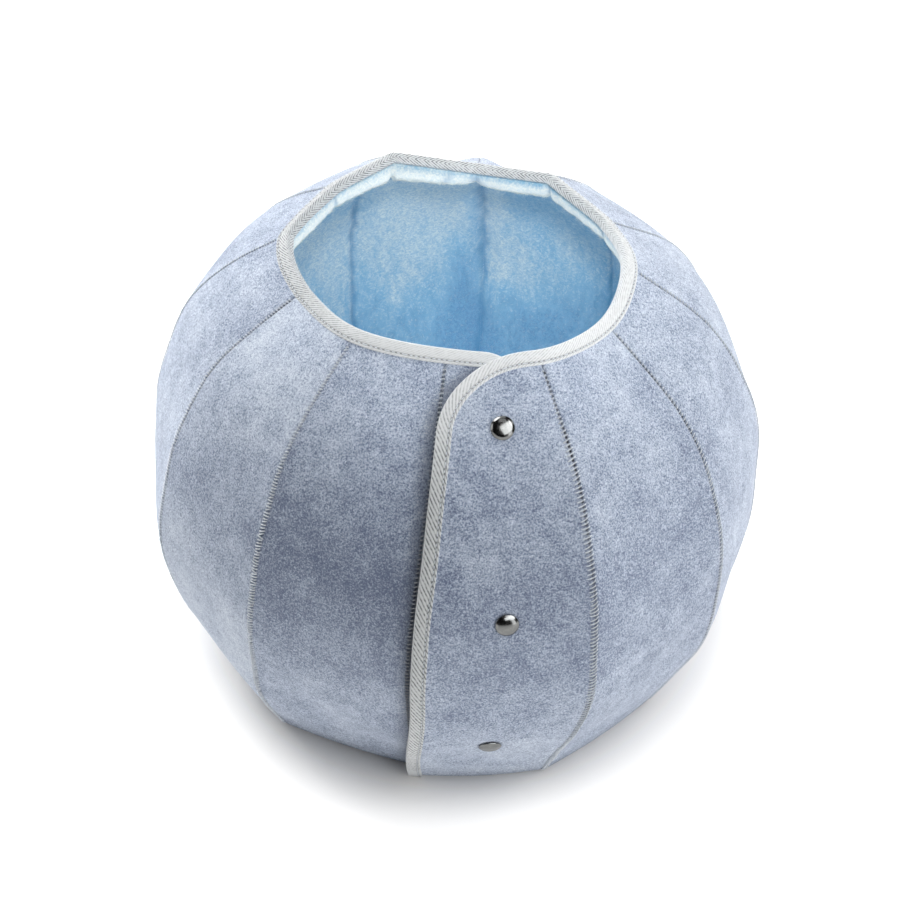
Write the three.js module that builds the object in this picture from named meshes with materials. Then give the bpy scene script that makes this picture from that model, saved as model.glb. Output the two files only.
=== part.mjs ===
// Collapsible round pet bed: a pumpkin-shaped felt pod with an open mouth, plush lined inside.
// Millimetres, +Z up, front towards -Y. The origin is on the floor, under the middle of the foot.
//
// The body is a ring of felt gores sewn edge to edge. In the front sector the ring is closed by two
// layers: an underlap that is sewn to the left-hand gore, and over it a flap that is sewn to the
// right-hand gore and held by three snaps. One tape binds the flap's free edge and the whole mouth.

import * as THREE from 'three';

// ---- Driving dimensions --------------------------------------------------------------------------

const BODY_HEIGHT = 302;        // floor to the felt's top edge at the mouth
const MOUTH_SLOPE = 0.033;      // the mouth sinks by this share of the distance to the right
const MOUTH_SHIFT = 4;          // how far the mouth sits to the right of the foot

const FELT_THICKNESS = 2.8;
const PLUSH_THICKNESS = 4;      // lining on the wall
const PLUSH_PINCHED = 1.2;      // lining squeezed under the tape
const PLUSH_ROLL = 11;          // lining where it puffs out below the tape
const TAPE_THICKNESS = 0.8;
const TAPE_OUTER_LEG = 10.5;    // tape width on the felt side
const TAPE_INNER_LEG = 9.5;     // tape width on the lining side
const TAPE_ROUNDING = 0.4;      // how far its folded edge is rounded off
const FLAP_SLACK = 0.7;         // how much wider it lies than the flap's felt alone
const GAP = 0.3;                // clearance between pieces that touch
const SEAM_INSET = 0.2;         // how far a sewn edge keeps from the middle of its seam

const GORE_CROWN = 2.5;         // how far a gore bows out between its two seams
const LAP = 6;                  // distance between the flap's and the underlap's felt
const BASE_THICKNESS = 3;
const BASE_CLEARANCE = 0.6;     // between the base panel and the felt walls

// Half-section of the body along a seam: rise is the share of BODY_HEIGHT.
const PROFILE = [
  { rise: 0.00, radius: 161 },
  { rise: 0.10, radius: 175 },
  { rise: 0.25, radius: 193 },
  { rise: 0.45, radius: 200 },
  { rise: 0.65, radius: 188 },
  { rise: 0.84, radius: 157 },
  { rise: 1.00, radius: 100 },
];
const BELLY_RISE = 0.45;

// One row per seam. Turns are degrees from the front towards the right, at foot, belly and mouth.
// Swells are how far the seam stands out from PROFILE there, and lift raises its end at the mouth.
const SEAMS = [
  { footTurn: 20, bellyTurn: 23, mouthTurn: 25, footSwell: 4, bellySwell: 8, mouthSwell: 2, lift: 9 },
  { footTurn: 53, bellyTurn: 55, mouthTurn: 61, footSwell: -2, bellySwell: -2, mouthSwell: -5, lift: -6 },
  { footTurn: 83, bellyTurn: 90, mouthTurn: 90, footSwell: 2, bellySwell: -5, mouthSwell: -1, lift: -2 },
  { footTurn: 118, bellyTurn: 124, mouthTurn: 120, footSwell: 0, bellySwell: 1, mouthSwell: 2, lift: -8 },
  { footTurn: 147, bellyTurn: 147, mouthTurn: 147, footSwell: 0, bellySwell: 0, mouthSwell: -1, lift: -1 },
  { footTurn: 175, bellyTurn: 175, mouthTurn: 175, footSwell: 0, bellySwell: 0, mouthSwell: -3, lift: -2 },
  { footTurn: 204, bellyTurn: 203, mouthTurn: 205, footSwell: 0, bellySwell: -2, mouthSwell: 4, lift: 1 },
  { footTurn: 234, bellyTurn: 232, mouthTurn: 231, footSwell: 0, bellySwell: -1, mouthSwell: 3, lift: 2 },
  { footTurn: 265, bellyTurn: 266, mouthTurn: 257, footSwell: 0, bellySwell: 0, mouthSwell: 12, lift: -5 },
  { footTurn: 295, bellyTurn: 291, mouthTurn: 285, footSwell: -3, bellySwell: 2, mouthSwell: 0, lift: -5 },
  { footTurn: 316, bellyTurn: 319, mouthTurn: 318, footSwell: 1, bellySwell: -3, mouthSwell: -6, lift: 2 },
  { footTurn: 352, bellyTurn: 351, mouthTurn: 353, footSwell: -6, bellySwell: 0, mouthSwell: -12, lift: 4 },
];
const RIGHT_SEAM = 0;                       // the flap is sewn along this seam
const LEFT_SEAM = SEAMS.length - 1;         // the underlap is sewn along this one

// The flap's outline, across (0 at the left seam, 1 at the right seam) and by rise.
const FLAP_EDGE = 0.02;         // across: the free edge, just right of the left seam
const FLAP_FLARE = 0.12;        // across: how far the free edge swings left at the foot
const FLARE_RISE = 0.4;         // the free edge is straight above this
const CORNER_RISE = 0.90;       // where the rounded top corner starts
const CORNER_ACROSS = 0.90;     // where it runs into the mouth edge
const UNDERLAP_END = 0.88;      // across: the underlap's hidden free edge
const UNDERLAP_DIP = 7;         // how far the underlap's mouth edge sinks towards that edge
const DIP_FROM = 0.4;           // across: where the sinking starts
const DIP_TO = 0.95;            // across: where it is full
const DIP_RISE = 0.8;           // the underlap follows the wall below this
const TAPE_TURN = 0.955;        // across: where the tape leaves the flap's own edge for the mouth's

const SNAP_DIAMETER = 14.4;
const SNAP_HEIGHT = 3.2;
const SNAP_RIM = 0.8;           // height of the cap's upright rim
const SNAP_FOOT = 0.4;          // how far the cap draws in below its rim
const SNAPS = [
  { name: 'snap_cap_top', across: 0.51, rise: 0.911 },
  { name: 'snap_cap_middle', across: 0.51, rise: 0.596 },
  { name: 'snap_cap_low', across: 0.47, rise: 0.230 },
];

// Rows of a gore: by rise up to the collar, then by distance below the mouth edge. Each collar row
// gives the lining's thickness there, so that it is pinched by the tape and puffs out below it.
const BODY_RISES = [0, 0.05, 0.12, 0.20, 0.29, 0.38, 0.47, 0.56, 0.65, 0.73, 0.80, 0.85];
const COLLAR_ROWS = [
  { below: 29, plush: PLUSH_THICKNESS },
  { below: 24, plush: 8 },
  { below: 19, plush: PLUSH_ROLL },
  { below: 14, plush: 9.5 },
  { below: TAPE_OUTER_LEG, plush: PLUSH_PINCHED },
  { below: 0, plush: PLUSH_PINCHED },
];
const COLUMNS = 3;              // facets across a gore
const CORNER_STEPS = 7;         // facets round the flap's corner
const SNAP_SEGMENTS = 20;
const DOME_STEPS = 6;
const STEP = 0.004;             // short way over a surface, by which its directions are found
const TOP_STRETCH = 0.04;       // share of the height whose slope is taken as the mouth's
const SETTLING_PASSES = 6;      // passes by which a point is dropped square onto a surface

// ---- Finishes ------------------------------------------------------------------------------------

const FINISHES = {
  felt: { color: 0x9aa8bf, roughness: 0.95, metalness: 0 },
  plush: { color: 0x86b4d2, roughness: 1, metalness: 0 },
  tape: { color: 0xd9dcdc, roughness: 0.85, metalness: 0 },
  snap: { color: 0x4a4d50, roughness: 0.25, metalness: 1 },
};

// ---- Body surface --------------------------------------------------------------------------------

const { smoothstep, degToRad, lerp } = THREE.MathUtils;

/** Radius of PROFILE at a rise, as a cubic through its rows. */
function profileRadius(rise) {
  const last = PROFILE.length - 1;
  const slopeAt = (row) => {
    const below = PROFILE[Math.max(row - 1, 0)];
    const above = PROFILE[Math.min(row + 1, last)];
    return (above.radius - below.radius) / (above.rise - below.rise);
  };
  let row = 0;
  while (row < last - 1 && rise > PROFILE[row + 1].rise) row += 1;
  const lower = PROFILE[row];
  const upper = PROFILE[row + 1];
  const span = upper.rise - lower.rise;
  const t = (rise - lower.rise) / span;
  return (2 * t ** 3 - 3 * t ** 2 + 1) * lower.radius
    + (t ** 3 - 2 * t ** 2 + t) * span * slopeAt(row)
    + (3 * t ** 2 - 2 * t ** 3) * upper.radius
    + (t ** 3 - t ** 2) * span * slopeAt(row + 1);
}

/** A point of a seam on the outer face of the felt. */
function seamPoint(index, rise) {
  const seam = SEAMS[index];
  const foot = 1 - smoothstep(rise, 0, BELLY_RISE);
  const mouth = smoothstep(rise, BELLY_RISE, 1);
  const belly = 1 - foot - mouth;
  const turn = degToRad(foot * seam.footTurn + belly * seam.bellyTurn + mouth * seam.mouthTurn);
  const swell = foot * seam.footSwell + belly * seam.bellySwell + mouth * seam.mouthSwell;
  const radius = profileRadius(rise) + swell;
  const x = radius * Math.sin(turn);
  const z = rise * BODY_HEIGHT + mouth * seam.lift;
  return new THREE.Vector3(x + MOUTH_SHIFT * rise, -radius * Math.cos(turn), z - MOUTH_SLOPE * x * rise);
}

/** The bowed sheet between two seams, on the outer face of the felt. Across runs to the right. */
function goreSurface(leftSeam, rightSeam) {
  return (across, rise) => {
    const left = seamPoint(leftSeam, rise);
    const right = seamPoint(rightSeam, rise);
    const higher = seamPoint(leftSeam, rise + STEP);
    const chord = right.clone().sub(left);
    const outward = chord.clone().cross(higher.sub(left)).normalize();
    return left.addScaledVector(chord, across)
      .addScaledVector(outward, GORE_CROWN * 4 * across * (1 - across));
  };
}

/** Moves a surface outwards by a distance that may vary across it. */
function shifted(surface, distance) {
  return (across, rise) => {
    const { point, outward } = frameOn(surface, across, rise);
    return point.addScaledVector(outward, distance(across));
  };
}

/** Point, outward normal, and unit directions across and up on a surface. */
function frameOn(surface, across, rise) {
  const point = surface(across, rise);
  const rightward = surface(across + STEP, rise).sub(surface(across - STEP, rise)).normalize();
  const upward = surface(across, rise + STEP).sub(surface(across, rise - STEP)).normalize();
  const outward = rightward.clone().cross(upward).normalize();
  return { point, outward, rightward, upward };
}

// Each gore knows its surface, where it ends on both sides, and which of its sides is sewn.
const gores = [];
for (let seam = RIGHT_SEAM; seam < LEFT_SEAM; seam += 1) {
  gores.push({
    suffix: `gore_${String(seam + 1).padStart(2, '0')}`,
    surface: goreSurface(seam, seam + 1),
    from: () => 0,
    to: () => 1,
    leftSeam: seam,
    rightSeam: seam + 1,
  });
}
const frontSurface = goreSurface(LEFT_SEAM, RIGHT_SEAM);
const dipRise = UNDERLAP_DIP / BODY_HEIGHT;
const underlapSurface = shifted(
  (across, rise) => {
    const dip = dipRise * smoothstep(across, DIP_FROM, DIP_TO) * smoothstep(rise, DIP_RISE, 1);
    return frontSurface(across, rise - dip);
  },
  (across) => -LAP * across,
);
const flapSurface = shifted(frontSurface, (across) => LAP * (1 - across));
const underlap = {
  suffix: 'underlap',
  surface: underlapSurface,
  from: () => 0,
  to: () => UNDERLAP_END,
  leftSeam: LEFT_SEAM,
};
const flap = {
  suffix: 'flap',
  surface: flapSurface,
  from: flapEdge,
  to: () => 1,
  rightSeam: RIGHT_SEAM,
};

/** Across position of the flap's free edge at a rise, with its rounded top corner. */
function flapEdge(rise) {
  const straight = FLAP_EDGE - FLAP_FLARE * (1 - smoothstep(rise, 0, FLARE_RISE));
  const climb = Math.min(Math.max((rise - CORNER_RISE) / (1 - CORNER_RISE), 0), 1);
  return straight + (CORNER_ACROSS - FLAP_EDGE) * (1 - Math.sqrt(1 - climb ** 2));
}

/** The two gores that meet at a seam: the one on its left and the one on its right. */
function goresAt(seam) {
  const leftOne = seam === RIGHT_SEAM ? flap : gores[seam - 1];
  const rightOne = seam === LEFT_SEAM ? underlap : gores[seam];
  return [leftOne, rightOne];
}

/** Mitre at a seam: the way an inner face is reached so that both gores meet edge to edge. */
function seamFrame(seam, rise) {
  const [leftOne, rightOne] = goresAt(seam);
  const left = frameOn(leftOne.surface, 1, rise);
  const right = frameOn(rightOne.surface, 0, rise);
  const outward = left.outward.clone().add(right.outward).normalize();
  const stretch = 1 / outward.dot(left.outward);
  const rightward = left.rightward.clone().add(right.rightward);
  rightward.addScaledVector(outward, -rightward.dot(outward)).normalize();
  return { point: seamPoint(seam, rise), outward: outward.multiplyScalar(stretch), rightward };
}

/** Point of a gore, a depth inside the felt's outer face; sewn edges keep clear of the seam. */
function gorePoint(gore, across, rise, depth) {
  const atLeftSeam = across === 0 && gore.leftSeam !== undefined;
  const atRightSeam = across === 1 && gore.rightSeam !== undefined;
  if (atLeftSeam || atRightSeam) {
    const frame = seamFrame(atLeftSeam ? gore.leftSeam : gore.rightSeam, rise);
    const inset = atLeftSeam ? SEAM_INSET : -SEAM_INSET;
    return frame.point.addScaledVector(frame.outward, -depth).addScaledVector(frame.rightward, inset);
  }
  const frame = frameOn(gore.surface, across, rise);
  return frame.point.addScaledVector(frame.outward, -depth);
}

/** Rise of a point that lies a distance below the mouth edge, measured along the wall. */
function riseBelow(distance) {
  const drawnIn = profileRadius(1 - TOP_STRETCH) - profileRadius(1);
  const wallPerRise = Math.hypot(drawnIn, TOP_STRETCH * BODY_HEIGHT) / TOP_STRETCH;
  return 1 - distance / wallPerRise;
}

// ---- Solids --------------------------------------------------------------------------------------

/** Closed solid between two equal grids of points, rows upwards and columns to the right. */
function sheetSolid(outer, inner) {
  const rows = outer.length;
  const columns = outer[0].length;
  const positions = [];
  for (const grid of [outer, inner]) {
    for (const row of grid) {
      for (const point of row) {
        positions.push(point.x, point.y, point.z);
      }
    }
  }
  const outerAt = (row, column) => row * columns + column;
  const innerAt = (row, column) => (rows + row) * columns + column;
  const triangles = [];
  const quad = (a, b, c, d) => triangles.push(a, b, c, a, c, d);
  for (let row = 0; row < rows - 1; row += 1) {
    for (let column = 0; column < columns - 1; column += 1) {
      quad(outerAt(row, column), outerAt(row, column + 1),
        outerAt(row + 1, column + 1), outerAt(row + 1, column));
      triangles.push(innerAt(row, column), innerAt(row + 1, column + 1), innerAt(row, column + 1));
      triangles.push(innerAt(row, column), innerAt(row + 1, column), innerAt(row + 1, column + 1));
    }
    quad(innerAt(row, 0), outerAt(row, 0), outerAt(row + 1, 0), innerAt(row + 1, 0));
    quad(outerAt(row, columns - 1), innerAt(row, columns - 1),
      innerAt(row + 1, columns - 1), outerAt(row + 1, columns - 1));
  }
  for (let column = 0; column < columns - 1; column += 1) {
    quad(innerAt(0, column), innerAt(0, column + 1), outerAt(0, column + 1), outerAt(0, column));
    quad(outerAt(rows - 1, column), outerAt(rows - 1, column + 1),
      innerAt(rows - 1, column + 1), innerAt(rows - 1, column));
  }
  const geometry = new THREE.BufferGeometry();
  geometry.setAttribute('position', new THREE.Float32BufferAttribute(positions, 3));
  geometry.setIndex(triangles);
  geometry.computeVertexNormals();
  return geometry;
}

function namedMesh(name, finish, geometry) {
  const mesh = new THREE.Mesh(geometry, new THREE.MeshStandardMaterial(FINISHES[finish]));
  mesh.name = name;
  return mesh;
}

const GORE_RISES = [...BODY_RISES, ...COLLAR_ROWS.map((row) => riseBelow(row.below))];

/** Cuts a grid level at its foot: the lowest row slides along the lowest stretch to a height. */
function cutLevel(grid, height) {
  grid[0].forEach((point, column) => {
    const above = grid[1][column];
    point.lerp(above, (height - point.z) / (above.z - point.z));
  });
}

/** One layer of a gore, with the depths of its outer and inner face at each row. */
function goreLayer(gore, rises, outerDepths, innerDepths, footHeight) {
  const face = (depths) => {
    const grid = rises.map((rise, row) => {
      const line = [];
      for (let column = 0; column <= COLUMNS; column += 1) {
        const across = lerp(gore.from(rise), gore.to(rise), column / COLUMNS);
        line.push(gorePoint(gore, across, rise, depths[row]));
      }
      return line;
    });
    cutLevel(grid, footHeight);
    return grid;
  };
  return sheetSolid(face(outerDepths), face(innerDepths));
}

/** The gore's felt, from the floor to the mouth edge. */
function feltLayer(gore, rises = GORE_RISES) {
  return goreLayer(gore, rises, rises.map(() => 0), rises.map(() => FELT_THICKNESS), 0);
}

/** The gore's plush, from the base panel to the mouth edge. */
function liningLayer(gore) {
  const back = FELT_THICKNESS + GAP;
  const thickness = [...BODY_RISES.map(() => PLUSH_THICKNESS), ...COLLAR_ROWS.map((row) => row.plush)];
  const faces = thickness.map((amount) => back + amount);
  return goreLayer(gore, GORE_RISES, faces.map(() => back), faces, BASE_THICKNESS + GAP);
}

// ---- Flap rows -----------------------------------------------------------------------------------

const FLAP_RISES = BODY_RISES.filter((rise) => rise < CORNER_RISE);
for (let step = 0; step <= CORNER_STEPS; step += 1) {
  const angle = (Math.PI / 2) * (step / CORNER_STEPS);
  FLAP_RISES.push(lerp(CORNER_RISE, 1, Math.sin(angle)));
}

// ---- Binding tape --------------------------------------------------------------------------------

/**
 * One U-shaped section of the tape. Edge is the cut edge, inward points from it into the cloth and
 * outward out of the cloth's outer face; pack is the thickness of what the tape holds.
 */
function tapeSection({ edge, inward, outward, outerLeg, innerLeg, pack, slack }) {
  const place = (depth, below) => edge.clone()
    .addScaledVector(outward, -depth)
    .addScaledVector(inward, below);
  const far = TAPE_THICKNESS + GAP;
  const back = pack + slack;
  return {
    outside: [
      outerLeg.clone().addScaledVector(outward, far),
      place(-far, TAPE_ROUNDING),
      place(-GAP, -far),
      place(back, -far),
      place(back + TAPE_THICKNESS, TAPE_ROUNDING),
      innerLeg.clone().addScaledVector(outward, -(back + TAPE_THICKNESS)),
    ],
    inside: [
      outerLeg.clone().addScaledVector(outward, GAP),
      place(-GAP, TAPE_ROUNDING / 2),
      place(TAPE_ROUNDING - GAP, -GAP),
      place(back - TAPE_ROUNDING, -GAP),
      place(back, TAPE_ROUNDING / 2),
      innerLeg.clone().addScaledVector(outward, -back),
    ],
  };
}

/** Section of the tape over a gore's mouth edge, where it holds felt and pinched lining. */
function mouthSection(gore, across) {
  const atSeam = across === 1 && gore.rightSeam !== undefined;
  const wallPoint = (below) => (atSeam
    ? seamPoint(gore.rightSeam, riseBelow(below))
    : gorePoint(gore, across, riseBelow(below), 0));
  const frame = atSeam ? seamFrame(gore.rightSeam, 1) : frameOn(gore.surface, across, 1);
  const edge = wallPoint(0);
  const lower = wallPoint(TAPE_OUTER_LEG);
  return tapeSection({
    edge,
    inward: lower.clone().sub(edge).normalize(),
    outward: frame.outward,
    outerLeg: lower,
    innerLeg: edge.clone().lerp(lower, TAPE_INNER_LEG / TAPE_OUTER_LEG),
    pack: FELT_THICKNESS + GAP + PLUSH_PINCHED,
    slack: GAP,
  });
}

/** Section of the tape over the flap's own edge, where it holds felt alone. */
function flapSection(across, rise, heading) {
  const frame = frameOn(flapSurface, across, rise);
  const inward = heading.clone().cross(frame.outward).normalize();
  const follow = (distance) => {
    const target = frame.point.clone().addScaledVector(inward, distance);
    return nearestOn(flapSurface, target, across, rise);
  };
  return tapeSection({
    edge: frame.point,
    inward,
    outward: frame.outward,
    outerLeg: follow(TAPE_OUTER_LEG),
    innerLeg: follow(TAPE_INNER_LEG),
    pack: FELT_THICKNESS,
    slack: FLAP_SLACK,
  });
}

/** Foot of the perpendicular from a point to a surface, found from a start nearby. */
function nearestOn(surface, target, across, rise) {
  let a = across;
  let r = rise;
  for (let pass = 0; pass < SETTLING_PASSES; pass += 1) {
    const frame = frameOn(surface, a, r);
    const offset = target.clone().sub(frame.point);
    const acrossLength = surface(a + STEP, r).distanceTo(surface(a - STEP, r)) / (2 * STEP);
    const riseLength = surface(a, r + STEP).distanceTo(surface(a, r - STEP)) / (2 * STEP);
    a += offset.dot(frame.rightward) / acrossLength;
    r += offset.dot(frame.upward) / riseLength;
  }
  return surface(a, r);
}

/** The one tape: up the flap's free edge, over its corner, round the mouth and onto the underlap. */
function bindingTape() {
  const sections = [];
  // Up the flap's free edge, round its corner and along its mouth edge to the right seam.
  const edgePath = FLAP_RISES.map((rise) => ({ across: flapEdge(rise), rise }));
  edgePath.push({ across: TAPE_TURN, rise: 1 });
  edgePath.forEach(({ across, rise }, index) => {
    const before = edgePath[Math.max(index - 1, 0)];
    const after = edgePath[Math.min(index + 1, edgePath.length - 1)];
    const heading = flapSurface(after.across, after.rise).sub(flapSurface(before.across, before.rise));
    sections.push(flapSection(across, rise, heading.normalize()));
  });
  // Round the mouth from the right seam to the left one, then along the underlap.
  sections.push(mouthSection(flap, 1));
  for (const gore of gores) {
    for (let column = 1; column <= COLUMNS; column += 1) {
      sections.push(mouthSection(gore, column / COLUMNS));
    }
  }
  for (let column = 1; column <= COLUMNS; column += 1) {
    sections.push(mouthSection(underlap, (UNDERLAP_END * column) / COLUMNS));
  }
  const outside = sections.map((section) => section.outside);
  const inside = sections.map((section) => section.inside);
  cutLevel(outside, GAP);
  cutLevel(inside, GAP);
  return sheetSolid(outside.reverse(), inside.reverse());
}

// ---- Base and snaps ------------------------------------------------------------------------------

/** Flat panel that closes the foot, a gap inside the felt walls. */
function basePanel() {
  const inset = FELT_THICKNESS + BASE_CLEARANCE;
  const rim = [];
  for (const gore of [...gores, underlap]) {
    // A gore's right-hand corner is the next gore's left-hand one, but the underlap ends on its own.
    const lastColumn = gore === underlap ? COLUMNS : COLUMNS - 1;
    for (let column = 0; column <= lastColumn; column += 1) {
      const across = lerp(gore.from(0), gore.to(0), column / COLUMNS);
      const low = gorePoint(gore, across, 0, inset);
      const above = gorePoint(gore, across, BODY_RISES[1], inset);
      rim.push(low.lerp(above, -low.z / (above.z - low.z)));
    }
  }
  const outline = new THREE.Shape(rim.map((point) => new THREE.Vector2(point.x, point.y)));
  return new THREE.ExtrudeGeometry(outline, { depth: BASE_THICKNESS, bevelEnabled: false });
}

/** Domed cap with an upright rim, turned about its own Y axis. */
function snapCap() {
  const radius = SNAP_DIAMETER / 2;
  const dome = SNAP_HEIGHT - SNAP_RIM;
  const profile = [new THREE.Vector2(0, 0), new THREE.Vector2(radius - SNAP_FOOT, 0)];
  for (let step = 0; step < DOME_STEPS; step += 1) {
    const angle = (Math.PI / 2) * (step / DOME_STEPS);
    profile.push(new THREE.Vector2(radius * Math.cos(angle), SNAP_RIM + dome * Math.sin(angle)));
  }
  profile.push(new THREE.Vector2(0, SNAP_HEIGHT));
  return new THREE.LatheGeometry(profile, SNAP_SEGMENTS);
}

/** Where a line drawn into a mesh from outside first meets it, and that face's outward normal. */
function seatOn(mesh, point, outward) {
  const start = point.clone().addScaledVector(outward, LAP);
  const [hit] = new THREE.Raycaster(start, outward.clone().negate()).intersectObject(mesh);
  return { point: hit.point, outward: hit.face.normal };
}

// ---- Assembly ------------------------------------------------------------------------------------

const bed = new THREE.Group();

for (const gore of gores) {
  bed.add(namedMesh(`felt_${gore.suffix}`, 'felt', feltLayer(gore)));
  bed.add(namedMesh(`lining_${gore.suffix}`, 'plush', liningLayer(gore)));
}
bed.add(namedMesh('felt_underlap', 'felt', feltLayer(underlap)));
bed.add(namedMesh('lining_underlap', 'plush', liningLayer(underlap)));
const flapMesh = namedMesh('felt_flap', 'felt', feltLayer(flap, FLAP_RISES));
bed.add(flapMesh);
bed.add(namedMesh('binding_tape', 'tape', bindingTape()));
bed.add(namedMesh('base_panel', 'felt', basePanel()));

for (const snap of SNAPS) {
  const cap = namedMesh(snap.name, 'snap', snapCap());
  const place = frameOn(flapSurface, snap.across, snap.rise);
  const { point, outward } = seatOn(flapMesh, place.point, place.outward);
  // The cap was turned about Y, so its Y axis is laid along the felt's outward normal.
  cap.quaternion.setFromUnitVectors(new THREE.Vector3(0, 1, 0), outward);
  cap.position.copy(point.addScaledVector(outward, GAP));
  bed.add(cap);
}

export default bed;
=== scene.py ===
"""Collapsible round pet bed: a felt pod with plush inside, a bound mouth and a flap with snaps.

Metres, +Z up, front towards -Y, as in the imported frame. The body is a ring of felt gores that are
sewn edge to edge. In front it is closed by an underlap and, over it, a flap with three snaps.
"""

import logging
import math
from dataclasses import dataclass
from enum import Enum
from typing import Callable

import bpy
import numpy as np
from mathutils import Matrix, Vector


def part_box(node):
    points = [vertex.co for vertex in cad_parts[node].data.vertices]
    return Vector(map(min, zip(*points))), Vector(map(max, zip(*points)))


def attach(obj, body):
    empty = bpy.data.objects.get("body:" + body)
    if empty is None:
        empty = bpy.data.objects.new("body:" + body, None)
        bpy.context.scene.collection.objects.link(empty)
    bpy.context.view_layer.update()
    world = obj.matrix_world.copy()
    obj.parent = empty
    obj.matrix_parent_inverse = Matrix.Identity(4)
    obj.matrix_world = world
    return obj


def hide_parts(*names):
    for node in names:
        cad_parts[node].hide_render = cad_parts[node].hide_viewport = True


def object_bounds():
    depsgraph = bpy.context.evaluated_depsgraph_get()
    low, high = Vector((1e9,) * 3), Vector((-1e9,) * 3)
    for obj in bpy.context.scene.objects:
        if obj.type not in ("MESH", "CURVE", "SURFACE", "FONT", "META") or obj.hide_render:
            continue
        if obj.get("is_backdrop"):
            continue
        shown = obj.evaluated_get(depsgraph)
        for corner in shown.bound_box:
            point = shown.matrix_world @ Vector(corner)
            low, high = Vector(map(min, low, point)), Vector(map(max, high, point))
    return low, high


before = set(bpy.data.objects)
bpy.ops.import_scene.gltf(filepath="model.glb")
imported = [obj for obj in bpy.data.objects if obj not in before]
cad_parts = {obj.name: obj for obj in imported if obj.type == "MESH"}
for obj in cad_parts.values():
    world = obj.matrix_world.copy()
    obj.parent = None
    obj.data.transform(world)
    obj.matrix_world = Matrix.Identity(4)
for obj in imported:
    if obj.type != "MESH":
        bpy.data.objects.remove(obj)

LOG = logging.getLogger("pet_bed")
MM = 0.001
FAR = 9.0  # a distance from a seam, in ladder half-widths, that no stitch reaches
NOISE_TABLE = 4096  # how many random numbers spread_noise draws
NOISE_KEYS = np.array([73856093, 19349663, 83492791])  # primes that scatter its cells

Array = np.ndarray
Colour = tuple[float, float, float]
Place = tuple[float, float, float]
Pair = tuple[float, float]  # two sizes, or where something starts and where it is full
Surface = Callable[[Array, Array], Array]


class Slot(Enum):
    """Material slots of the pieces."""

    FELT = "felt"
    PLUSH = "plush"
    TAPE = "tape"
    SNAP = "snap"


# ---- Numbers over a surface ----


def smoothstep(value: Array, low: float, high: float) -> Array:
    """Returns an eased ramp from 0 at low to 1 at high."""
    share = np.clip((np.asarray(value, float) - low) / (high - low), 0, 1)
    return share * share * (3 - 2 * share)


def hill(distance: Array, width: float) -> Array:
    """Returns a bell curve that is 1 at no distance and fades over a width."""
    return np.exp(-((np.asarray(distance, float) / width) ** 2))


def norm(vectors: Array) -> Array:
    """Returns the lengths of vectors."""
    return np.linalg.norm(vectors, axis=-1)


def unit(vectors: Array) -> Array:
    """Returns vectors scaled to length 1."""
    return vectors / norm(vectors)[..., None]


def run_along(points: Array) -> Array:
    """Returns how far along a line each of its points lies."""
    return np.concatenate([[0], np.cumsum(norm(np.diff(points, axis=0)))])


def cubic(share: Array, start: Array, start_way: Array, end: Array, end_way: Array) -> Array:
    """Draws a curve between two points.

    Args:
        share: How far along the curve, from 0 to 1.
        start: Its first point.
        start_way: The way it leaves the first point, and how fast.
        end: Its last point.
        end_way: The way it meets the last point.

    Returns:
        Points on the curve.
    """
    return (
        (2 * share**3 - 3 * share**2 + 1) * start
        + (share**3 - 2 * share**2 + share) * start_way
        + (3 * share**2 - 2 * share**3) * end
        + (share**3 - share**2) * end_way
    )


def dot(first: Array, second: Array) -> Array:
    """Returns the dot products of two fields of vectors, with the last axis kept."""
    return (first * second).sum(-1, keepdims=True)


def spread_noise(points: Array, size: float, seed: int) -> Array:
    """Smooth random numbers over space.

    Args:
        points: Places, in metres, shaped (..., 3).
        size: Distance over which the numbers change.
        seed: Picks one pattern.

    Returns:
        Numbers from -1 to 1, shaped as points without its last axis.
    """
    table = np.random.default_rng(seed).uniform(-1, 1, NOISE_TABLE)
    scaled = points / size + 1000.0
    cell = np.floor(scaled).astype(np.int64)
    share = smoothstep(scaled - cell, 0, 1)
    total = np.zeros(points.shape[:-1])
    for corner in np.ndindex(2, 2, 2):
        key = np.bitwise_xor.reduce((cell + corner) * NOISE_KEYS, axis=-1) % NOISE_TABLE
        total += np.where(corner, share, 1 - share).prod(-1) * table[key]
    return total


def smoothed_along(values: Array, spacing: float, reach: float) -> Array:
    """Softens values along a line of evenly spaced points.

    Args:
        values: Rows along the line.
        spacing: Distance between rows.
        reach: Distance over which neighbours are averaged.

    Returns:
        The softened rows, with both ends held.
    """
    half = max(int(3 * reach / spacing), 1)
    weights = hill(np.arange(-half, half + 1) * spacing, reach)
    weights /= weights.sum()
    before = 2 * values[:1] - values[half:0:-1]
    after = 2 * values[-1:] - values[-2 : -half - 2 : -1]
    padded = np.concatenate([before, values, after])
    flat = padded.reshape(len(padded), -1)
    soft = np.stack([np.convolve(column, weights, "valid") for column in flat.T], axis=1)
    return soft.reshape(values.shape)


def cut_level(grid: Array, height: float, rows: int = 8) -> Array:
    """Lays the lowest rows of a grid again, so that it starts at a height.

    Args:
        grid: Points, with rows upwards, shaped (rows, columns, 3).
        height: Height of the new first row.
        rows: How many rows move.

    Returns:
        The grid, with its lowest rows slid along its own columns.
    """
    levels = grid[: rows + 1, :, 2].mean(1)
    shares = (levels - levels[0]) / (levels[-1] - levels[0])
    done = grid.copy()
    for column in range(grid.shape[1]):
        line = grid[: rows + 1, column]
        wanted = height + (line[-1, 2] - height) * shares
        slope = (line[1] - line[0]) / (line[1, 2] - line[0, 2])
        for axis in range(3):
            inside = np.interp(wanted, line[:, 2], line[:, axis])
            under = line[0, axis] + slope[axis] * (wanted - line[0, 2])
            done[: rows + 1, column, axis] = np.where(wanted < line[0, 2], under, inside)
    return done


# ---- Shader wiring ----


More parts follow.
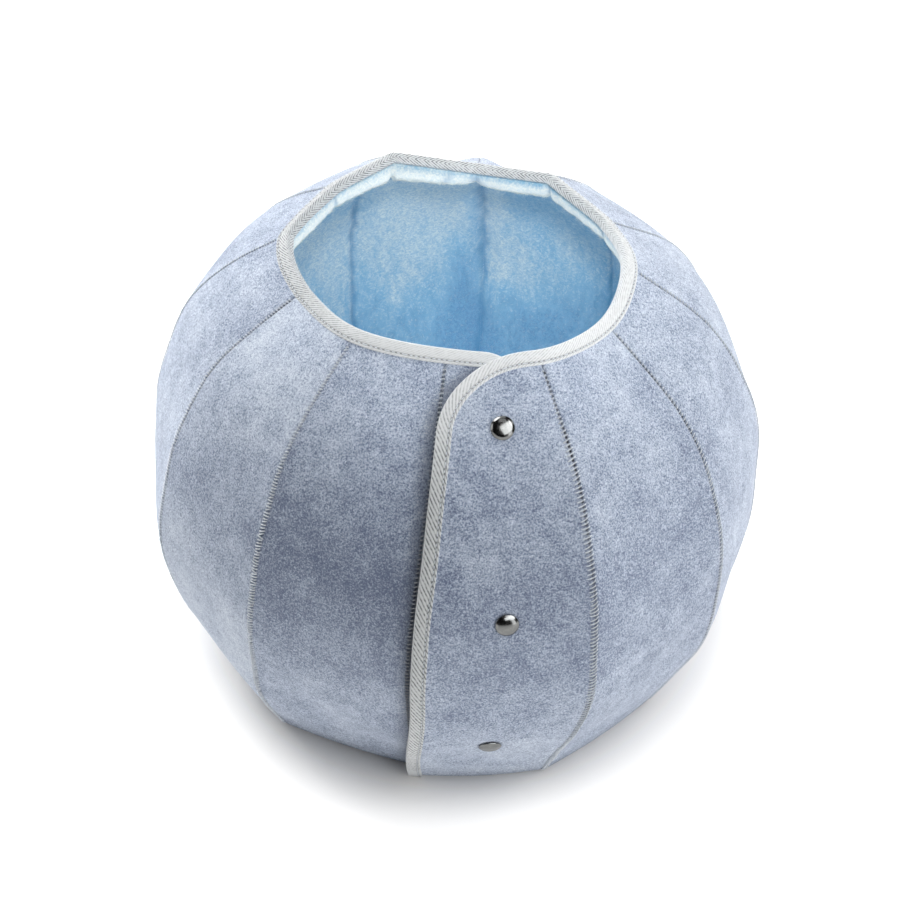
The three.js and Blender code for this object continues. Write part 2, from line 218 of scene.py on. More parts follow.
class Wire:
    """An output socket whose arithmetic adds Math nodes."""

    def __init__(self, paint: "Paint", source: bpy.types.NodeSocket) -> None:
        """Wraps a socket of a material that is being wired."""
        self.paint = paint
        self.source = source

    def _math(self, operation: str, *values: object) -> "Wire":
        """Returns the result of one Math node."""
        sockets = dict(enumerate(values))
        return self.paint.node("ShaderNodeMath", {"operation": operation}, sockets)

    def maths(self, operation: str, *others: object) -> "Wire":
        """Returns the result of one Math node on this value and any others."""
        return self._math(operation, self, *others)

    def __add__(self, other: object) -> "Wire":
        """Returns self + other."""
        return self._math("ADD", self, other)

    def __sub__(self, other: object) -> "Wire":
        """Returns self - other."""
        return self._math("SUBTRACT", self, other)

    def __rsub__(self, other: object) -> "Wire":
        """Returns other - self."""
        return self._math("SUBTRACT", other, self)

    def __mul__(self, other: object) -> "Wire":
        """Returns self * other."""
        return self._math("MULTIPLY", self, other)

    def __pow__(self, other: object) -> "Wire":
        """Returns self to the power of other."""
        return self._math("POWER", self, other)

    __radd__ = __add__
    __rmul__ = __mul__

    def ramped(self, low: float, high: float) -> "Wire":
        """Eases the value into a share.

        Args:
            low: Value that gives 0.
            high: Value that gives 1.

        Returns:
            The share.
        """
        return self.paint.node(
            "ShaderNodeMapRange",
            {"interpolation_type": "SMOOTHSTEP"},
            {"Value": self, "From Min": low, "From Max": high},
        )


class Paint:
    """One node material while it is being wired."""

    def __init__(self, name: str) -> None:
        """Starts a material with a bare Principled shader.

        Args:
            name: The material's name.
        """
        self.material = bpy.data.materials.new(name)
        self.material.use_nodes = True
        self.tree = self.material.node_tree
        self.shader = self.tree.nodes["Principled BSDF"]

    def node(self, kind: str, settings: dict, sockets: dict, output: object = 0) -> Wire:
        """Adds a node.

        Args:
            kind: The node's type.
            settings: Its own settings; "stops" fills a colour ramp.
            sockets: Values or wires of its inputs, by name or number.
            output: Name or number of the output that is wanted.

        Returns:
            That output.
        """
        made = self.tree.nodes.new(kind)
        for key, value in settings.items():
            if key == "stops":
                ramp = made.color_ramp
                while len(ramp.elements) < len(value):
                    ramp.elements.new(0.5)
                for element, (position, colour) in zip(ramp.elements, value):
                    element.position = position
                    element.color = (*colour, 1)
            else:
                setattr(made, key, value)
        for key, value in sockets.items():
            self.feed(made.inputs[key], value)
        return Wire(self, made.outputs[output])

    def feed(self, socket: bpy.types.NodeSocket, value: object) -> None:
        """Links a wire to a socket, or sets a plain value on it.

        Args:
            socket: The socket.
            value: A wire, a number, or a vector or colour of three or four numbers.
        """
        if isinstance(value, Wire):
            self.tree.links.new(value.source, socket)
        elif hasattr(value, "__len__") and len(socket.default_value) == 4:
            socket.default_value = (*value[:3], 1)
        else:
            socket.default_value = value

    def set(self, **sockets: object) -> bpy.types.Material:
        """Feeds the shader.

        Args:
            **sockets: Values or wires by socket name, with _ for a space.

        Returns:
            The material.
        """
        for name, value in sockets.items():
            self.feed(self.shader.inputs[name.replace("_", " ")], value)
        return self.material

    def place(self) -> Wire:
        """Returns the Object coordinates."""
        return self.node("ShaderNodeTexCoord", {}, {}, "Object")

    def noise(
        self, where: Wire, scale: float, detail: float = 2, rough: float = 0.5, swirl: float = 0
    ) -> Wire:
        """Returns a noise value from about 0 to 1."""
        sockets = {"Vector": where, "Scale": scale, "Detail": detail, "Roughness": rough}
        return self.node("ShaderNodeTexNoise", {}, {**sockets, "Distortion": swirl})

    def mark(self, name: str) -> Wire:
        """Returns a piece's own attribute."""
        return self.node("ShaderNodeAttribute", {"attribute_name": name}, {}, "Fac")

    def mixed(self, share: object, first: object, second: object) -> Wire:
        """Returns a mix of two colours."""
        settings = {"data_type": "RGBA"}
        return self.node("ShaderNodeMix", settings, {0: share, 6: first, 7: second}, 2)

    def banded(self, value: Wire, *stops: tuple[float, Colour]) -> Wire:
        """Returns a colour that runs through stops as the value grows."""
        return self.node("ShaderNodeValToRGB", {"stops": stops}, {"Fac": value})

    def own_map(self, name: str) -> tuple[Wire, Wire]:
        """Reads a piece's own UV map.

        Args:
            name: The map's name.

        Returns:
            Both of its parts.
        """
        pair = self.node("ShaderNodeUVMap", {"uv_map": name}, {})
        first = self.node("ShaderNodeSeparateXYZ", {}, {"Vector": pair})
        return first, Wire(self, first.source.node.outputs[1])

    def relief(self, height: Wire, distance: float, strength: float = 1) -> Wire:
        """Returns a normal from a height value."""
        sockets = {"Height": height, "Distance": distance, "Strength": strength}
        return self.node("ShaderNodeBump", {}, sockets)


# ---- Finishes ----


@dataclass(frozen=True)
class FeltFinish:
    """Heathered needle felt: pale and dark fibres, matted, with cloudy patches."""

    pale: Colour = (0.65, 0.71, 0.79)
    middle: Colour = (0.385, 0.45, 0.572)
    dark: Colour = (0.13, 0.165, 0.26)
    # Colour of the painted shade in the seam's gaps and between its threads.
    groove: Colour = (0.03, 0.035, 0.045)
    # Colour of the painted shadow that the flap casts beside its free edge.
    shade: Colour = (0.05, 0.06, 0.085)
    fleck_scale: float = 900
    fibre_scale: float = 470
    patch_scale: float = 30
    cloud_scale: float = 102
    rung_shade_strength: float = 0.3

    def _seam_shade(self, paint: Paint) -> Wire:
        """Paints shade on the felt between the stitches, in the seam's gaps.

        The UV map "seam" holds the distance from the seam, in ladder half-widths, and the place
        along it, counted in stitches.

        Args:
            paint: The material.

        Returns:
            How dark it is.
        """
        reach, place = paint.own_map("seam")
        beat = (place * (2 * math.pi)).maths("COSINE")
        gap = (0 - beat).ramped(-0.35, 0.45)
        rungs = gap * (1 - reach.ramped(0.75, 1.15)) * paint.mark("rungs") * self.rung_shade_strength
        dots = paint.mark("groove") * (gap * 0.8 + 0.2)
        return rungs + dots - rungs * dots

    def material(self) -> bpy.types.Material:
        """Returns the wired material."""
        paint = Paint("heathered_felt")
        where = paint.place()
        flecks = paint.noise(where, self.fleck_scale, 2, 0.6)
        fibres = paint.noise(where, self.fibre_scale, 3, 0.65, 2.2)
        patches = paint.noise(where, self.patch_scale, 3, 0.6)
        clouds = paint.noise(where, self.cloud_scale, 2, 0.5)
        tone = flecks * 0.55 + fibres * 0.5 + patches * 0.20 + clouds * 0.14
        # Adds each gore's painted light and shade.
        tone = tone + paint.mark("tone")
        colour = paint.banded(tone, (0.555, self.dark), (0.70, self.middle), (0.845, self.pale))
        # Paints the flap's shadow on the felt beside its free edge.
        colour = paint.mixed(paint.mark("lapped"), colour, self.shade)
        colour = paint.mixed(self._seam_shade(paint), colour, self.groove)
        return paint.set(
            Base_Color=colour,
            Roughness=0.95,
            Sheen_Weight=0.25,
            Sheen_Roughness=0.6,
            Specular_IOR_Level=0.15,
            Normal=paint.relief(flecks * 0.4 + fibres * 0.6, 0.9 * MM, 0.7),
        )


@dataclass(frozen=True)
class PlushFinish:
    """Short light-blue plush, lighter or deeper as its pile is brushed, with painted light and
    shade.
    """

    brushed: Colour = (0.63, 0.705, 0.71)
    deep: Colour = (0.24, 0.46, 0.63)
    darkest: Colour = (0.09, 0.26, 0.47)
    # The roll's colour: its paler pile tips, with painted light.
    tips: Colour = (0.80, 0.825, 0.79)
    glint: Colour = (0.66, 0.77, 0.80)
    # Colour of the painted shade in the lining's creases.
    crease: Colour = (0.10, 0.27, 0.45)
    stroke_scale: float = 26
    dab_scale: float = 130
    wisp_scale: float = 310
    pile_scale: float = 640
    pile_drop: float = 0.45

    def material(self) -> bpy.types.Material:
        """Returns the wired material."""
        paint = Paint("short_plush")
        where = paint.place()
        drop = {"Vector": where, "Scale": (1, 1, self.pile_drop)}
        tall = paint.node("ShaderNodeMapping", {}, drop)
        strokes = paint.noise(tall, self.stroke_scale, 4, 0.65, 0.6)
        dabs = paint.noise(tall, self.dab_scale, 4, 0.7, 1.2)
        wisps = paint.noise(where, self.wisp_scale, 3, 0.6, 1.6)
        pile = paint.noise(where, self.pile_scale, 3, 0.7)
        roll = paint.mark("roll")
        nap = strokes * 1.3 + dabs * 1.5 - 0.85 + pile * 0.3 + paint.mark("deep") * 0.42
        stops = (0.372, self.brushed), (0.672, self.deep), (0.97, self.darkest)
        # The roll is paler: its own paler pile tips, and painted light over the tape's shadow.
        colour = paint.mixed(roll, paint.banded(nap * 0.6, *stops), self.tips)
        glint = paint.mixed(roll, self.glint, self.tips)
        # Fewer pale specks where the blue is deep, painted shade included.
        flat = 1 - paint.mark("deep").ramped(0.5, 1.8) * 0.45
        for noise, share in ((wisps, 0.62), (pile, 0.46)):
            dark = (1 - noise).ramped(0.42, 0.62) * share * (1 - roll * 0.72)
            colour = paint.mixed(dark, colour, self.deep)
            colour = paint.mixed(noise.ramped(0.5, 0.7) * flat * share * 0.85, colour, glint)
        # Paints shade in the creases.
        colour = paint.mixed(paint.mark("crease"), colour, self.crease)
        return paint.set(
            Base_Color=colour,
            Roughness=0.9,
            Sheen_Weight=0.5,
            Sheen_Roughness=0.45,
            Specular_IOR_Level=0.1,
            Normal=paint.relief(pile * 0.4 + wisps * 0.4 + dabs * 0.2, 1.5 * MM, 0.7),
        )


@dataclass(frozen=True)
class TwillFinish:
    """Herringbone tape with painted sheen, paler at the flap's corner; its map is metres along and
    across.
    """

    rib: Colour = (0.59, 0.61, 0.62)
    valley: Colour = (0.13, 0.14, 0.15)
    # Colour of the painted shade in the stitch groove.
    groove_shade: Colour = (0.10, 0.11, 0.12)
    painted_sheen: Colour = (0.86, 0.88, 0.89)
    rib_pitch: float = 1.35 * MM
    rib_lean: float = 30
    flap_end: float = 0.37
    flap_blend: float = 0.03
    flap_ribs: float = 0.68
    corner_sheen: tuple[float, float, float, float] = (0.27, 0.37, 0.47, 0.6)
    end_sheen: Pair = (0.86, 0.92)

    def material(self) -> bpy.types.Material:
        """Returns the wired material."""
        paint = Paint("twill_tape")
        along, over = paint.own_map("strip")
        lean = math.radians(self.rib_lean)
        wander = paint.noise(paint.place(), 160, 2, 0.5)
        turn = 2 * math.pi / self.rib_pitch
        past_flap = along.maths("MAXIMUM", self.flap_end) - self.flap_end
        run = along * self.flap_ribs + past_flap * (1 - self.flap_ribs)
        mouth = along.ramped(self.flap_end - self.flap_blend, self.flap_end + self.flap_blend)
        ribs = mouth * (1 - self.flap_ribs) + self.flap_ribs
        from_fold = over.maths("ABSOLUTE")
        phase = from_fold * ribs * (turn * math.cos(lean)) + run * (turn * math.sin(lean))
        wave = (phase + wander * 2.2).maths("SINE")
        worn = paint.noise(paint.place(), 420, 2, 0.6).ramped(0.3, 0.7)
        gaps = (wave * 0.5 + 0.5) ** 1.4 * (worn * 0.6 + 0.4)
        thread = paint.noise(paint.place(), 1500, 2, 0.6)
        shown = 1 - gaps * paint.mark("ribs")
        tone = (shown * 0.8 + thread * 0.35).ramped(0.15, 0.95)
        colour = paint.mixed(tone, self.valley, self.rib)
        # Painted sheen: paler round the flap's corner and towards the underlap's end.
        first, full, fading, last = self.corner_sheen
        corner = along.ramped(first, full) * (1 - along.ramped(fading, last))
        painted_sheen = corner * 0.5 + along.ramped(*self.end_sheen) * 0.3
        colour = paint.mixed(painted_sheen, colour, self.painted_sheen)
        # Paints shade in the stitch groove.
        colour = paint.mixed(paint.mark("groove"), colour, self.groove_shade)
        return paint.set(
            Base_Color=colour,
            Roughness=0.8,
            Sheen_Weight=0.2,
            Specular_IOR_Level=0.25,
            Normal=paint.relief(shown * 0.8 + thread * 0.2, 0.35 * MM, 0.8),
        )


@dataclass(frozen=True)
class ThreadFinish:
    """Pale sewing thread, with painted shade where it sinks between the two cloths and beside the
    flap.
    """

    pale: Colour = (0.80, 0.84, 0.88)
    dull: Colour = (0.58, 0.63, 0.70)
    # Colour of the painted shade on the threads.
    sunk: Colour = (0.04, 0.045, 0.055)

    def material(self) -> bpy.types.Material:
        """Returns the wired material."""
        paint = Paint("sewing_thread")
        twist = paint.noise(paint.place(), 1400, 2, 0.6)
        colour = paint.mixed(twist.ramped(0.3, 0.7), self.dull, self.pale)
        colour = paint.mixed(paint.mark("sunk"), colour, self.sunk)
        return paint.set(Base_Color=colour, Roughness=0.7, Normal=paint.relief(twist, 0.2 * MM))


@dataclass(frozen=True)
class SnapFinish:
    """Polished gunmetal with faint rubbing marks."""

    metal: Colour = (0.17, 0.175, 0.175)
    worn: Colour = (0.22, 0.225, 0.22)

    def material(self) -> bpy.types.Material:
        """Returns the wired material."""
        paint = Paint("polished_gunmetal")
        rubs = paint.noise(paint.place(), 420, 3, 0.6)
        colour = paint.mixed(rubs.ramped(0.45, 0.8), self.metal, self.worn)
        rough = rubs.ramped(0.2, 0.9) * 0.08 + 0.15
        return paint.set(Base_Color=colour, Metallic=1.0, Roughness=rough)


@dataclass(frozen=True)
class FloorFinish:
    """Matt white studio floor that glows a little as painted light; the glow fades near the bed to
    paint a contact shadow.
    """

    white: Colour = (0.90, 0.88, 0.85)
    shade: Colour = (0.86, 0.84, 0.81)
    glow: float = 0.6
    glow_reach: Pair = (0.153, 0.211)

    def material(self) -> bpy.types.Material:
        """Returns the wired material."""
        paint = Paint("studio_floor")
        cloud = paint.noise(paint.place(), 2, 2, 0.5)
        length = {"operation": "LENGTH"}
        far = paint.node("ShaderNodeVectorMath", length, {0: paint.place()}, "Value")
        return paint.set(
            Base_Color=paint.mixed(cloud, self.white, self.shade),
            Roughness=0.9,
            # Painted light that fades out near the bed, leaving a painted contact shadow.
            Emission_Color=paint.mixed(far.ramped(*self.glow_reach), (0, 0, 0), (1, 1, 1)),
            Emission_Strength=self.glow,
        )


class Finishes:
    """Every material of the bed, made once."""

    def __init__(self) -> None:
        """Wires the materials."""
        self.felt = FeltFinish().material()
        self.plush = PlushFinish().material()
        self.tape = TwillFinish().material()
        self.thread = ThreadFinish().material()
        self.snap = SnapFinish().material()
        self.floor = FloorFinish().material()


# ---- Meshes ----


def closed_shell(outer: Array, inner: Array) -> tuple[Array, list[list[int]]]:
    """Closed shell between two equal grids, rows upwards and columns to the right.

    Args:
        outer: Points of the outer face, shaped (rows, columns, 3).
        inner: Points of the inner face.

    Returns:
        Points, shaped (n, 3), and four-cornered faces that point out.
    """
    rows, columns = outer.shape[:2]
    front = np.arange(rows * columns).reshape(rows, columns)
    back = front + rows * columns
    loops = [
        (front[:-1, :-1], front[:-1, 1:], front[1:, 1:], front[1:, :-1]),
        (back[:-1, :-1], back[1:, :-1], back[1:, 1:], back[:-1, 1:]),
        (back[:-1, 0], front[:-1, 0], front[1:, 0], back[1:, 0]),
        (front[:-1, -1], back[:-1, -1], back[1:, -1], front[1:, -1]),
        (back[0, :-1], back[0, 1:], front[0, 1:], front[0, :-1]),
        (front[-1, :-1], front[-1, 1:], back[-1, 1:], back[-1, :-1]),
    ]
    faces = np.concatenate([np.stack([c.ravel() for c in loop], axis=1) for loop in loops])
    return np.concatenate([outer.reshape(-1, 3), inner.reshape(-1, 3)]), faces.tolist()


def both(values: Array) -> Array:
    """Returns a grid's numbers for both faces of a closed shell."""
    return np.tile(values.ravel(), 2)


def placed(name: str, data: bpy.types.ID) -> bpy.types.Object:
    """Puts an object in the scene.

    Args:
        name: Its name.
        data: Its mesh, lamp or camera.

    Returns:
        The object.
    """
    made = bpy.data.objects.new(name, data)
    bpy.context.scene.collection.objects.link(made)
    return made


def plain_piece(
    name: str, points: Array, faces: list[list[int]], material: bpy.types.Material
) -> bpy.types.Object:
    """Makes a piece at the origin that isn't shaded smooth yet.

    Args:
        name: The piece's name.
        points: Corner places, shaped (n, 3).
        faces: Corner numbers of each face.
        material: Its finish.

    Returns:
        The new object.
    """
    mesh = bpy.data.meshes.new(name)
    mesh.from_pydata(points.tolist(), [], faces)
    mesh.materials.append(material)
    return placed(name, mesh)


def make_piece(
    name: str,
    points: Array,
    faces: list[list[int]],
    material: bpy.types.Material,
    marks: dict[str, Array],
    maps: dict[str, Array] | None = None,
    crease: float = 48,
) -> bpy.types.Object:
    """Makes a smooth-shaded piece at the origin.

    Args:
        name: The piece's name.
        points: Corner places, shaped (n, 3).
        faces: Corner numbers of each face.
        material: Its finish.
        marks: Numbers per corner that the finish reads, by name.
        maps: UV maps that the finish reads, with one pair per corner, by name.
        crease: The least angle, in degrees, that stays a sharp edge.

    Returns:
        The new object.
    """
    piece = plain_piece(name, points, faces, material)
    for key, values in marks.items():
        attribute = piece.data.attributes.new(key, "FLOAT", "POINT")
        attribute.data.foreach_set("value", values.astype(np.float32).ravel())
    for key, pairs in (maps or {}).items():
        add_map(piece.data, key, pairs)
    piece.data.update()
    smooth(piece, crease)
    return piece


def add_map(mesh: bpy.types.Mesh, name: str, pairs: Array) -> None:
    """Adds a UV map to a mesh.

    Args:
        mesh: The mesh.
        name: The map's name.
        pairs: Two numbers for each corner point.
    """
    layer = mesh.uv_layers.new(name=name)
    corner = np.empty(len(mesh.loops), np.int32)
    mesh.loops.foreach_get("vertex_index", corner)
    layer.data.foreach_set("uv", pairs[corner].astype(np.float32).ravel())


def pick_only(piece: bpy.types.Object) -> None:
    """Leaves one object selected and active.

    Args:
        piece: The object.
    """
    bpy.ops.object.select_all(action="DESELECT")
    piece.select_set(True)
    bpy.context.view_layer.objects.active = piece


def smooth(piece: bpy.types.Object, angle: float) -> None:
    """Shades a piece smooth, with creases sharper than an angle in degrees kept."""
    pick_only(piece)
    bpy.ops.object.shade_smooth_by_angle(angle=math.radians(angle))


def belongs(piece: bpy.types.Object, slot: Slot, *nodes: str) -> bpy.types.Object:
    """Makes a piece ride on the bed, hides the CAD nodes that it stands for and logs its face
    count.

    Args:
        piece: The piece.
        slot: Its material slot; not used.
        *nodes: The CAD nodes that it stands for.

    Returns:
        The piece.
    """
    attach(piece, "root")
    if nodes:
        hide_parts(*nodes)
    LOG.info("%s: %d faces", piece.name, len(piece.data.polygons))
    return piece


# ---- Body form ----


@dataclass(frozen=True)
class SeamLine:
    """One seam: its turns in degrees and its swells in millimetres, at foot, belly and mouth.

    Its lift, in millimetres, raises its mouth end.
    """

    foot_turn: float
    belly_turn: float
    mouth_turn: float
    foot_swell: float
    belly_swell: float
    mouth_swell: float
    lift: float


@dataclass
class Facing:
    """Points of a surface with its outward, rightward and upward directions."""

    points: Array
    outward: Array
    rightward: Array
    upward: Array


@dataclass
class BodyForm:
    """The pod's outer surface, gore by gore, with its slow unevenness."""

    height: float = 302 * MM
    belly_rise: float = 0.45
    mouth_slope: float = 0.033
    mouth_shift: float = 4 * MM
    crown: float = 2.5 * MM
    lap: float = 6 * MM
    step: float = 0.004
    top_stretch: float = 0.04
    profile: tuple[Pair, ...] = (
        (0.00, 161),
        (0.10, 175),
        (0.25, 193),
        (0.45, 200),
        (0.65, 188),
        (0.84, 157),
        (1.00, 100),
    )
    seams: tuple[SeamLine, ...] = (
        SeamLine(20, 23, 25, 4, 8, 2, 9),
        SeamLine(53, 55, 61, -2, -2, -5, -6),
        SeamLine(83, 90, 90, 2, -5, -1, -2),
        SeamLine(118, 124, 120, 0, 1, 2, -8),
        SeamLine(147, 147, 147, 0, 0, -1, -1),
        SeamLine(175, 175, 175, 0, 0, -3, -7),
        SeamLine(204, 203, 205, 0, -2, 4, 4),
        SeamLine(234, 232, 231, 0, -1, 3, 2),
        SeamLine(265, 266, 257, 0, 0, 12, -5),
        SeamLine(295, 291, 285, -3, 2, 0, -5),
        SeamLine(316, 319, 318, 1, -3, -6, 2),
        SeamLine(352, 351, 353, -6, 0, -12, 4),
    )
    flap_edge: float = 0.02
    flap_flare: float = 0.12
    flare_rise: float = 0.4
    corner_rise: float = 0.90
    corner_across: float = 0.90
    underlap_dip: float = 7 * MM
    dip_across: Pair = (0.4, 0.95)
    dip_rise: float = 0.8
    ripple: float = 0.9 * MM
    ripple_foot: float = 40 * MM
    pucker_seam: int = 5
    pucker_rise: float = 0.945
    pucker_height: float = 10.5 * MM
    pucker_width: float = 14 * MM
    rounded_from: float = 0.74
    rounding: tuple[float, ...] = (1, 1, 1, 0.7, 0, 0.1, 0, 0.5, 0.7, 0.8, 1, 1)
    stitch_pitch: float = 2.8 * MM
    fine_seams: tuple[int, ...] = (8, 9, 10)
    fine_pitch: float = 2.1 * MM
    ladder_at_mouth: float = 1.25 * MM
    ladder: Pair = (1.45 * MM, 0.4)
    flap_ladder: Pair = (1.95 * MM, 0.14)
    stitch_lean: float = 0.3
    flap_stitch_aside: float = -1.0 * MM
    stitch_foot: float = 0.012
    stitch_top: float = 12 * MM
    # How dark the painted shade between each seam's stitches is, below the mouth and at it; the
    # groove sinks deeper with it.
    dot_depths: tuple[float, ...] = (1, 0.85, 0.65, 0.5, 0.6, 0.6, 0.6, 0.6, 0.4, 0.1, 0.05, 0.5)
    mouth_dots: tuple[float, ...] = (1, 0.85, 0.65, 0.5, 0.6, 0.6, 0.6, 0.6, 0.8, 0.8, 0.1, 1)
    dot_patch: float = 17 * MM
    mouth_dots_rise: float = 0.92
    last_seam_dots_rise: float = 0.84
    underlap_end: float = 0.88

    def __post_init__(self) -> None:
        """Draws the waves of the slow unevenness and works out the mouth's slope."""
        rng = np.random.default_rng(7)
        self.waves = unit(rng.normal(size=(6, 3))) * rng.uniform(45, 115, (6, 1))
        self.wave_starts = rng.uniform(0, 2 * math.pi, 6)
        below = self.radius(np.array(1 - self.top_stretch)) - self.radius(np.array(1.0))
        self.wall_per_rise = math.hypot(float(below), self.top_stretch * self.height)
        self.wall_per_rise /= self.top_stretch
        self.pucker = self.seam(self.pucker_seam, np.array(self.pucker_rise))

    @property
    def last_seam(self) -> int:
        """Number of the seam that joins the last gore and the underlap."""
        return len(self.seams) - 1

    def radius(self, rise: Array) -> Array:
        """Works out the body's radius, as a cubic through the profile's rows.

        Args:
            rise: Height over the floor, as a share of the body's.

        Returns:
            The radius.
        """
        rows = np.array(self.profile)
        heights, radii = rows[:, 0], rows[:, 1] * MM
        before = np.maximum(np.arange(len(rows)) - 1, 0)
        after = np.minimum(np.arange(len(rows)) + 1, len(rows) - 1)
        slopes = (radii[after] - radii[before]) / (heights[after] - heights[before])
        at = np.clip(np.searchsorted(heights, rise, "left") - 1, 0, len(rows) - 2)
        span = heights[at + 1] - heights[at]
        ways = span * slopes[at], span * slopes[at + 1]
        return cubic((rise - heights[at]) / span, radii[at], ways[0], radii[at + 1], ways[1])

    def seam(self, number: int, rise: Array) -> Array:
        """Draws a seam on the felt's outer face.

        Args:
            number: The seam's number.
            rise: Height along it, from 0 at the foot to 1 at the mouth.

        Returns:
            Points of the seam.
        """
        line = self.seams[number]
        rise = np.asarray(rise, float)
        foot = 1 - smoothstep(rise, 0, self.belly_rise)
        mouth = smoothstep(rise, self.belly_rise, 1)
        belly = 1 - foot - mouth
        turn = foot * line.foot_turn + belly * line.belly_turn + mouth * line.mouth_turn
        turn = np.radians(turn)
        swell = foot * line.foot_swell + belly * line.belly_swell + mouth * line.mouth_swell
        radius = self.radius(rise) + swell * MM
        x = radius * np.sin(turn)
        z = rise * self.height + mouth * line.lift * MM - self.mouth_slope * x * rise
        return np.stack([x + self.mouth_shift * rise, -radius * np.cos(turn), z], axis=-1)

    def unevenness(self, points: Array) -> Array:
        """Works out the slow unevenness, which fades at the foot, with the pucker at the mouth.

        Args:
            points: Points of the plain form.

        Returns:
            How far the wall stands out there.
        """
        waves = np.sin(points @ self.waves.T + self.wave_starts).sum(-1)
        rippled = self.ripple * waves * 0.5 * smoothstep(points[..., 2], 0, self.ripple_foot)
        return rippled + self.pucker_height * hill(self.from_pucker(points), self.pucker_width)

    def from_pucker(self, points: Array) -> Array:
        """Returns distances to the middle of the pucker at the mouth."""
        return norm(points - self.pucker)

    def between(self, left: int, right: int) -> Surface:
        """Spans the bowed surface between two seams.

        Args:
            left: Number of the left seam.
            right: Number of the right one.

        Returns:
            The surface, which takes shares across and rises.
        """
        count = len(self.seams)

        def surface(across: Array, rise: Array) -> Array:
            """Finds points of the surface.

            Args:
                across: Places by share across.
                rise: Places by rise.

            Returns:
                The points.
            """
            across, rise = np.broadcast_arrays(across, rise)
            start, end = self.seam(left, rise), self.seam(right, rise)
            chord = end - start
            outward = unit(np.cross(chord, self.seam(left, rise + self.step) - start))
            share = across[..., None]
            points = start + chord * share + outward * self.crown * 4 * share * (1 - share)
            start_way = (end - self.seam((left - 1) % count, rise)) * 0.5
            end_way = (self.seam((right + 1) % count, rise) - start) * 0.5
            start_way = chord + (start_way - chord) * self.rounding[left]
            end_way = chord + (end_way - chord) * self.rounding[right]
            rounded = cubic(share, start, start_way, end, end_way)
            pull = smoothstep(rise, self.rounded_from, 1)[..., None]
            points = points + (rounded - points) * pull
            level = points * np.array([1, 1, 0])
            return points + unit(level) * self.unevenness(points)[..., None]

        return surface

    def facing(self, surface: Surface, across: Array, rise: Array) -> Facing:
        """Finds which way a surface faces.

        Args:
            surface: The surface.
            across: Places by share across.
            rise: Places by rise.

        Returns:
            Its points and directions there.
        """
        across, rise = np.broadcast_arrays(across, rise)
        step = self.step
        right = unit(surface(across + step, rise) - surface(across - step, rise))
        upward = unit(surface(across, rise + step) - surface(across, rise - step))
        outward = unit(np.cross(right, upward))
        return Facing(surface(across, rise), outward, right, upward)

    def shifted(self, surface: Surface, distance: Callable[[Array], Array]) -> Surface:
        """Moves a surface outwards.

        Args:
            surface: The surface.
            distance: How far it moves, over the share across.

        Returns:
            The moved surface.
        """

        def moved(across: Array, rise: Array) -> Array:
            """Returns points by share across and by rise."""
            facing = self.facing(surface, across, rise)
            return facing.points + facing.outward * distance(np.asarray(across))[..., None]

        return moved

    def flap_surface(self) -> Surface:
        """Returns the flap's surface, which stands off most at its free edge."""
        front = self.between(self.last_seam, 0)
        return self.shifted(front, lambda across: self.lap * (1 - across))

    def underlap_surface(self) -> Surface:
        """Returns the underlap's surface, which sinks behind the flap."""
        front = self.between(self.last_seam, 0)

        def dipped(across: Array, rise: Array) -> Array:
            """Returns the front surface, with its mouth edge sunk to the right."""
            dip = smoothstep(across, *self.dip_across) * smoothstep(rise, self.dip_rise, 1)
            return front(across, rise - dip * self.underlap_dip / self.height)

        return self.shifted(dipped, lambda across: -self.lap * across)

    def flap_start(self, rise: Array) -> Array:
        """Finds the flap's free edge.

        Args:
            rise: Places by rise.

        Returns:
            Its share across there.
        """
        flare = self.flap_flare * (1 - smoothstep(rise, 0, self.flare_rise))
        climb = np.clip((rise - self.corner_rise) / (1 - self.corner_rise), 0, 1)
        turn = (self.corner_across - self.flap_edge) * (1 - np.sqrt(1 - climb**2))
        return self.flap_edge - flare + turn

    def rise_below(self, distance: Array) -> Array:
        """Returns the rise at a distance below the mouth edge, along the wall."""
        return 1 - np.asarray(distance) / self.wall_per_rise

    def stitch_places(self, number: int, rise: Array) -> Array:
        """Counts stitches along a seam.

        Args:
            number: The seam's number.
            rise: Places by rise.

        Returns:
            The places, counted in stitches from its foot.
        """
        fine = np.linspace(self.stitch_foot, float(self.rise_below(self.stitch_top)), 600)
        run = run_along(self.seam(number, fine))
        pitch = self.fine_pitch if number in self.fine_seams else self.stitch_pitch
        count = int(run[-1] / pitch)
        return np.interp(rise, fine, run / run[-1] * count)

    def dot_depth(self, number: int, rise: Array) -> Array:
        """Works out how dark the painted shade between a seam's stitches is, which wanders along
        it.

        Args:
            number: The seam's number.
            rise: Places by rise.

        Returns:
            The darkness, from 0 to 1.
        """
        last = number == self.last_seam
        start = self.last_seam_dots_rise if last else self.mouth_dots_rise
        mouth = smoothstep(rise, start, start + 0.04)
        depth = self.dot_depths[number] * (1 - mouth) + self.mouth_dots[number] * mouth
        points = self.seam(number, rise)
        depth = depth * (1 - hill(self.from_pucker(points), 2 * self.pucker_width))
        return np.clip(depth * (0.8 + 0.35 * spread_noise(points, self.dot_patch, 31)), 0, 1)

    def ladder_half(self, rise: Array, at_flap: bool) -> Array:
        """Returns half the width of the ladder stitch, which is narrow at the mouth."""
        gain, full = self.flap_ladder if at_flap else self.ladder
        return self.ladder_at_mouth + gain * smoothstep(1 - np.asarray(rise), 0.05, full)

